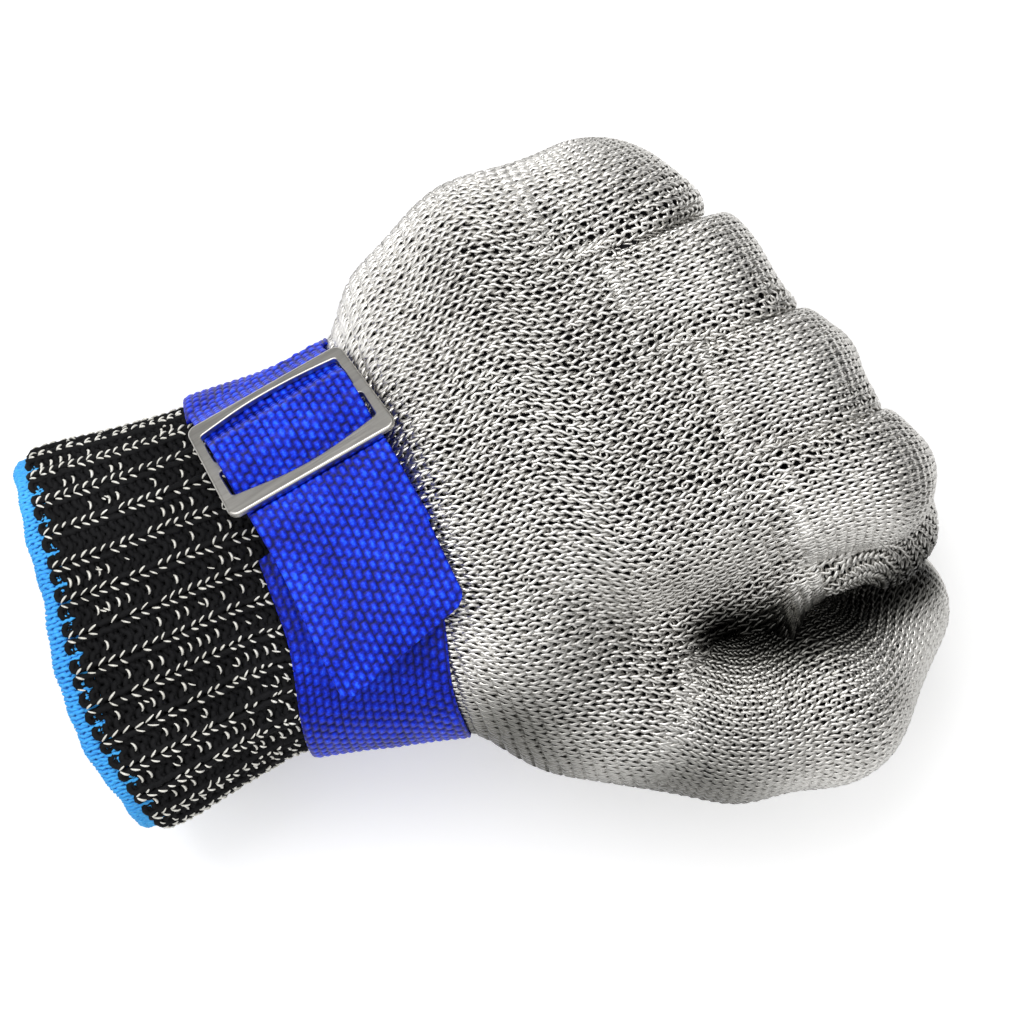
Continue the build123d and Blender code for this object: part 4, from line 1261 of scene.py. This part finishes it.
def woven(name, centre, normal, u, v, thick=WEB_T, relief=0.26, both=True, tone=1.0):
    """Closed woven ribbon: centre and normal (along, across, 3); u across and v along in mm."""
    half = np.abs(u).max()
    edge = np.clip(1 - (np.abs(u) / half) ** 14, 0.0, 1) ** 0.5
    edge = 0.45 + 0.55 * edge
    h = weave(u + 100.0, v + 100.0)
    fuzz = rng.normal(0, 0.012, h.shape)
    top = centre + normal * ((thick / 2 - relief * 0.55) * edge + relief * h * edge + fuzz)[..., None]
    hb = weave(u + 100.0 + 1.36, v + 100.0)
    bot = centre - normal * ((thick / 2 - relief * 0.55) * edge + relief * hb * edge * (1.0 if both else 0.0))[..., None]
    rows_, cols_ = u.shape
    n = rows_ * cols_
    ft = grid_faces(rows_, cols_, False)
    fb = ft[:, ::-1] + n
    i = np.arange(rows_ - 1)
    left = np.stack([i * cols_, (i + 1) * cols_, (i + 1) * cols_ + n, i * cols_ + n], 1)
    right = np.stack([i * cols_ + cols_ - 1 + n, (i + 1) * cols_ + cols_ - 1 + n, (i + 1) * cols_ + cols_ - 1, i * cols_ + cols_ - 1], 1)
    j = np.arange(cols_ - 1)
    first = np.stack([j + n, j + 1 + n, j + 1, j], 1)
    e = (rows_ - 1) * cols_
    lastf = np.stack([e + j, e + j + 1, e + j + 1 + n, e + j + n], 1)
    faces_ = np.concatenate([ft, fb, left, right, first, lastf])
    ob = mesh_object(name, np.concatenate([top.reshape(-1, 3), bot.reshape(-1, 3)]), faces_, WEB)
    # consistent outward faces
    import bmesh
    bm = bmesh.new()
    bm.from_mesh(ob.data)
    bmesh.ops.recalc_face_normals(bm, faces=bm.faces[:])
    bm.to_mesh(ob.data)
    bm.free()
    # the weave attribute carries the weave's height for the painted shade in the gaps; a tone below 1 darkens the whole
    # piece as painted shade
    tone_ = ob.data.attributes.new("weave", "FLOAT", "POINT")
    tone_.data.foreach_set("value", np.clip(np.concatenate([h.ravel(), hb.ravel()]) * tone, 0, 1).astype(np.float32))
    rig.slot(ob, "blue_webbing")
    return ob


def rounded(pts, radius=0.9):
    out = [pts[0]]
    for p_, q_, r_ in zip(pts, pts[1:], pts[2:]):
        p_, q_, r_ = map(np.array, (p_, q_, r_))
        a_, b_ = unit(p_ - q_), unit(r_ - q_)
        dot = float(np.clip(a_ @ b_, -1, 1))
        if dot < -0.9995:
            out.append(tuple(q_))
            continue
        half = sqrt((1 - dot) / 2) / sqrt((1 + dot) / 2)
        backd = radius / half
        s_, e_ = q_ + a_ * backd, q_ + b_ * backd
        bis = unit(a_ + b_)
        c_ = q_ + bis * sqrt(radius ** 2 + backd ** 2)
        t0, t1 = atan2(*(s_ - c_)[::-1]), atan2(*(e_ - c_)[::-1])
        turn = (t1 - t0 + pi) % (2 * pi) - pi
        for k in range(9):
            t = t0 + turn * k / 8
            out.append((c_[0] + radius * cos(t), c_[1] + radius * sin(t)))
    out.append(pts[-1])
    return out


def ribbon_grid(pts, width, step=0.28, across=0.215, shape=None):
    """Grid along a path in the slider's YZ plane."""
    pts = np.array(pts, float)
    L = np.concatenate([[0], np.cumsum(np.linalg.norm(np.diff(pts, axis=0), axis=1))])
    n = int(L[-1] / step)
    at = np.linspace(0, L[-1], n + 1)
    yz = np.stack([np.interp(at, L, pts[:, i]) for i in range(2)], 1)
    k = 3
    pad = np.pad(yz, ((k, k), (0, 0)), mode="edge")
    sm = sum(pad[i : i + len(yz)] for i in range(2 * k + 1)) / (2 * k + 1)
    sm[:k], sm[-k:] = yz[:k], yz[-k:]
    yz = sm
    t = unit(np.gradient(yz, axis=0))
    nrm = np.stack([-t[:, 1], t[:, 0]], 1)
    m = int(width / across)
    uu_ = np.linspace(-width / 2, width / 2, m + 1)
    U = np.repeat(uu_[None, :], len(yz), 0)
    V = np.repeat(at[:, None], m + 1, 1)
    Y = np.repeat(yz[:, :1], m + 1, 1)
    Z = np.repeat(yz[:, 1:], m + 1, 1)
    N = nrm[:, None, 0, None] * E2 + nrm[:, None, 1, None] * EN
    N = np.repeat(N, m + 1, 1)
    return U, V, Y, Z, N


# the piece of webbing that runs through the slider's two windows, squeezed a little
threaded = rounded([(9.7, -1.325), (6.7, -1.325), (2.8, 2.7), (-2.3, 2.7), (-6.0, -1.325), (-9.8, -1.325)], 1.0)
U, V, Y, Z, N = ribbon_grid(threaded, 25.4)
ob = woven("strap_threaded_web", local(U, Y, Z), N, U, V, relief=0.32)
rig.ride(ob, "buckle")
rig.replaces(ob, "strap_threaded")

# sewn end
mid = 0.82 + WEB_T / 2
over = WEB_LIFT + WEB_T + 0.25 + WEB_T / 2
lower = rounded([(-11.3, ring_top(-11.3, WEB_LIFT + WEB_T / 2)), (-9.6, ring_top(-9.6, WEB_LIFT + WEB_T / 2 + 0.05)), (-4.5, -3.75), (-0.6, -mid), (1.1, -mid)], 0.9)
turn_ = [(1.1 + mid * cos(radians(a_)), mid * sin(radians(a_))) for a_ in range(-80, 81, 10)]
after = [(v_a, ring_top(v_a, over)) for v_a in (-12.0, -13.5, -15.0, -16.5, -18.0, -19.5, -21.0, -22.0)]
upper = rounded([(1.1, mid), (-1.3, mid), (-4.8, -2.575), (-9.9, ring_top(-9.9, over) + 0.2), after[0]], 0.9)
path = lower + turn_ + upper + after[1:]
U, V, Y, Z, N = ribbon_grid(path, 25.6)
ob = woven("strap_sewn_web", local(U, Y, Z), N, U, V, relief=0.30)
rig.ride(ob, "hand")
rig.replaces(ob, "strap_sewn_end")

# lead-in
lead = [(10.05, -1.325), (11.2, -2.0), (14.0, max(-4.9, ring_top(14.0, WEB_LIFT + WEB_T / 2))), (17.0, ring_top(17.0, WEB_LIFT + WEB_T / 2))]
U, V, Y, Z, N = ribbon_grid(rounded(lead, 1.5), 25.4)
ob = woven("strap_lead_web", local(U, Y, Z), N, U, V, relief=0.32)
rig.ride(ob, "hand")
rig.replaces(ob, "strap_lead_in")

# free tail
tail_off = over + WEB_T + 0.25
tail_end = [(v_a, ring_top(v_a, tail_off)) for v_a in (-22.5, -24.0, -26.0, -28.0, -30.0, -32.0, -34.0, -36.0, -38.0, -40.0, -42.0)]
path = rounded([(-10.2, -1.325), (-12.5, -1.9), (-21.0, ring_top(-21.0, tail_off) + 0.1)], 4.0) + tail_end
U, V, Y, Z, N = ribbon_grid(path, 25.4)
total_l = V.max()
# oblique heat-cut end: the thumb-side corner is the longer one, corners rounded
slant = (U / 12.7) * -2.4
corner = 1.6 * (np.clip(np.abs(U) / 12.7 - 0.80, 0, 1) / 0.20) ** 2.5
end_v = total_l - 7.0 + slant - corner
frac = V / total_l
newV = frac * end_v
at = V[:, 0]
Y2 = np.interp(newV, at, Y[:, 0])
Z2 = np.interp(newV, at, Z[:, 0])
lean = -1.9 * smooth(newV, 3.0, total_l - 4.0)
lift = 1.0 * smooth(newV, total_l - 13, total_l - 5) + 0.25 * np.sin(U * 0.35) * smooth(newV, total_l - 20, total_l)
N2 = np.stack([np.interp(newV, at, N[:, 0, i]) for i in range(3)], -1)
ob = woven("strap_tail_web", local(U + lean, Y2, Z2) + N2 * lift[..., None], N2, U, newV, relief=0.34)
w_tail = smooth(np.concatenate([newV.ravel(), newV.ravel()]), -2.0, 3.0)
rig.blend(ob, "buckle", "tail", start=tuple(row(local(np.array(0.0), np.array(-10.2), np.array(-1.3)))), end=tuple(row(local(np.array(0.0), np.array(-16.0), np.array(-3.5)))))
set_weights(ob, np.clip(w_tail, 0, 1))
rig.replaces(ob, "strap_tail")

# the loop round the wrist
n_across = 124
xa = np.linspace(STRAP_X[0], STRAP_X[1], n_across)
rows_pts, rows_len = [], []
LOOP_SHIFT = 4.3  # towards the knuckles on the back of the wrist, nothing at the thumb side


def loop_ring(x):
    yc, zc, ay, az, sq = outline(x)
    off = WEB_LIFT + WEB_T / 2
    t = np.linspace(0, 2 * pi, 1441)
    c, s = np.cos(t), np.sin(t)
    r = (np.abs(c) ** sq + np.abs(s) ** sq) ** (-1 / sq)
    return np.stack([np.full(1441, x), yc + (ay + off) * r * c, zc + (az + off) * r * s], 1)[:-1]


for x in xa:
    near, far = loop_ring(x), loop_ring(x + LOOP_SHIFT)
    k_ = (smooth(near[:, 1], -33.0, -8.0) * (near[:, 2] > 2.0))[:, None] * (1 - smooth(near[:, 1], 8.0, 16.0))[:, None]
    pt = near + (far - near) * k_
    vv = (pt - SC) @ E2
    top_side = (pt - SC) @ EN > -16
    # from the thumb side of the back (v = -11.4), down round the palm, up to the lead-in (v = 17.45)
    gap = (vv > -11.4) & (vv < 15.9) & top_side
    k_start = np.where(gap)[0].max() + 1  # t grows from +Y over the back to -Y
    k_end = np.where(gap)[0].min()
    idx = np.arange(k_start, k_end + 1440) % 1440
    q = pt[idx]
    L = np.concatenate([[0], np.cumsum(np.linalg.norm(np.diff(q, axis=0), axis=1))])
    rows_pts.append((q, L))
n_along = 620
C = np.zeros((n_along, n_across, 3))
Vg = np.zeros((n_along, n_across))
for i, (q, L) in enumerate(rows_pts):
    at = np.linspace(0, L[-1], n_along)
    C[:, i] = np.stack([np.interp(at, L, q[:, k]) for k in range(3)], 1)
    Vg[:, i] = at * (rows_pts[n_across // 2][1][-1] / L[-1])
Ug = np.repeat((xa - xa.mean())[None, :], n_along, 0)
Nl = unit(np.cross(np.gradient(C, axis=1), np.gradient(C, axis=0)))
if ((C - C.mean((0, 1))) * Nl)[..., 1:].sum() < 0:
    Nl = -Nl
# tone 0.82 darkens the whole loop: painted shade for the lower layer lying under the tail
ob = woven("strap_loop_web", C, Nl, Ug, Vg, relief=0.34, tone=0.82)
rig.ride(ob, "hand")
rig.replaces(ob, "strap_loop")


# ------------------------------------------------------------------ stitching
def thread_run(points, nrm, rad=0.16):
    """Thin thread humps along a polyline."""
    v, f, _ = tube_strips(points, nrm, rad, 5, False)
    return v, f


p = Parts()
for vline in (-13.2, -16.6, -20.0):
    for k in range(9):
        u0 = -11.2 + k * 2.5
        m = 7
        us = np.linspace(u0, u0 + 2.1, m)
        hgt = np.sin(np.linspace(0, pi, m)) * 0.10
        base = np.array([height(0.0, vline, over + WEB_T / 2)] * m)
        base = np.array([ring_top(vline, over)] * m) + WEB_T / 2 + 0.06 + hgt - 0.02
        pts = local(us, np.full(m, vline), base + 0.02)[None]
        v1, f1 = thread_run(pts, np.broadcast_to(EN, pts.shape), 0.10)
        p.add(v1, f1)
v_, f_, _ = p.data()
ob = mesh_object("sewn_end_threads", v_, f_, THREAD)
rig.ride(ob, "hand")
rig.replaces(ob, "sewn_end_stitching")
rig.slot(ob, "sewing_thread")

p = Parts()
for yq in (-16.0, 14.0):
    n = 22
    xs_ = np.linspace(32.6, 49.4, n)
    yy = yq + np.where(np.arange(n) % 2 == 0, -0.8, 0.8)
    dense_x = np.linspace(xs_[0], xs_[-1], n * 5)
    dense_y = np.interp(dense_x, xs_, yy)
    pts = []
    for x, y in zip(dense_x, dense_y):
        yc, zc, ay, az, sq = outline(x)
        off = WEB_LIFT + WEB_T + 0.12
        z = zc - (az + off) * (1 - (abs(y - yc) / (ay + off)) ** sq) ** (1 / sq)
        pts.append((x, y, z))
    pts = np.array(pts)[None]
    v1, f1 = thread_run(pts, np.broadcast_to(np.array([0, 0, -1.0]), pts.shape), 0.17)
    p.add(v1, f1)
v_, f_, _ = p.data()
ob = mesh_object("strap_tack_threads", v_, f_, THREAD)
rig.ride(ob, "hand")
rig.replaces(ob, "strap_tacks")
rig.slot(ob, "sewing_thread")

# ------------------------------------------------------------------- slider
buckle = frame["nodes"]["buckle_frame"]
buckle.data.materials.clear()
buckle.data.materials.append(SLIDER)

# -------------------------------------------------------------------- studio
bpy.context.view_layer.update()
floor_z = min(CAD_LO[2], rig.bounds()[0][2]) - 0.0002
bpy.ops.mesh.primitive_plane_add(size=6.0, location=(0.07, 0, floor_z))
floor = bpy.context.object
floor.name = "studio_floor"
fm, nt, b = new_material("studio_floor", 0.9)
b.inputs["Base Color"].default_value = (0.97, 0.97, 0.97, 1)
b.inputs["Emission Color"].default_value = (1, 1, 1, 1)
b.inputs["Emission Strength"].default_value = 0.22
floor.data.materials.append(fm)
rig.stage(floor)

world = bpy.data.worlds.new("studio")
bpy.context.scene.world = world
world.use_nodes = True
bg = world.node_tree.nodes["Background"]
tc_ = world.node_tree.nodes.new("ShaderNodeTexCoord")
sp_ = world.node_tree.nodes.new("ShaderNodeSeparateXYZ")
world.node_tree.links.new(tc_.outputs["Generated"], sp_.inputs[0])
sky = ramp(world.node_tree, sp_.outputs["Z"], [(0.0, (0.05,) * 3), (0.34, (0.07,) * 3), (0.70, (0.74,) * 3), (1.0, (0.98,) * 3)])
world.node_tree.links.new(sky, bg.inputs["Color"])
bg.inputs["Strength"].default_value = 1.12


def area(name, at, target, size, power):
    li = bpy.data.lights.new(name, "AREA")
    li.energy = power
    li.size = size
    o = bpy.data.objects.new(name, li)
    bpy.context.scene.collection.objects.link(o)
    o.location = Vector(row(at))
    d = Vector(row(target)) - o.location
    o.rotation_euler = d.to_track_quat("-Z", "Y").to_euler()
    return o


area("key", (40, 330, 520), (75, 0, 0), 0.40, 1.9)
area("fill", (160, -420, 380), (75, 0, 0), 0.45, 0.30)
area("rim", (-260, 60, 330), (60, 0, 0), 0.30, 0.35)

# -------------------------------------------------------------------- camera
ALPHA = radians(20.0)
CX, CY = 73.7, -3.6
cam_data = bpy.data.cameras.new("camera")
cam_data.sensor_width = 36.0
cam_data.lens = 36.0 * 480.0 / 175.44
cam = bpy.data.objects.new("camera", cam_data)
bpy.context.scene.collection.objects.link(cam)
right = R_ROW @ np.array([cos(ALPHA), -sin(ALPHA), 0])
up = R_ROW @ np.array([sin(ALPHA), cos(ALPHA), 0])
out = R_ROW @ np.array([0, 0, 1.0])
pos = row((CX, CY, 485.0))
m = Matrix(((right[0], up[0], out[0], pos[0]), (right[1], up[1], out[1], pos[1]), (right[2], up[2], out[2], pos[2]), (0, 0, 0, 1)))
cam.matrix_world = m
cam_data.clip_start, cam_data.clip_end = 0.01, 20
bpy.context.scene.camera = cam
bpy.context.scene.view_settings.view_transform = "Standard"
bpy.context.scene.view_settings.look = "None"

bpy.context.view_layer.update()
lo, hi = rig.bounds()
json.dump({"cad": [list(CAD_LO), list(CAD_HI)], "visual": [list(lo), list(hi)]}, open("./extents.json", "w"))
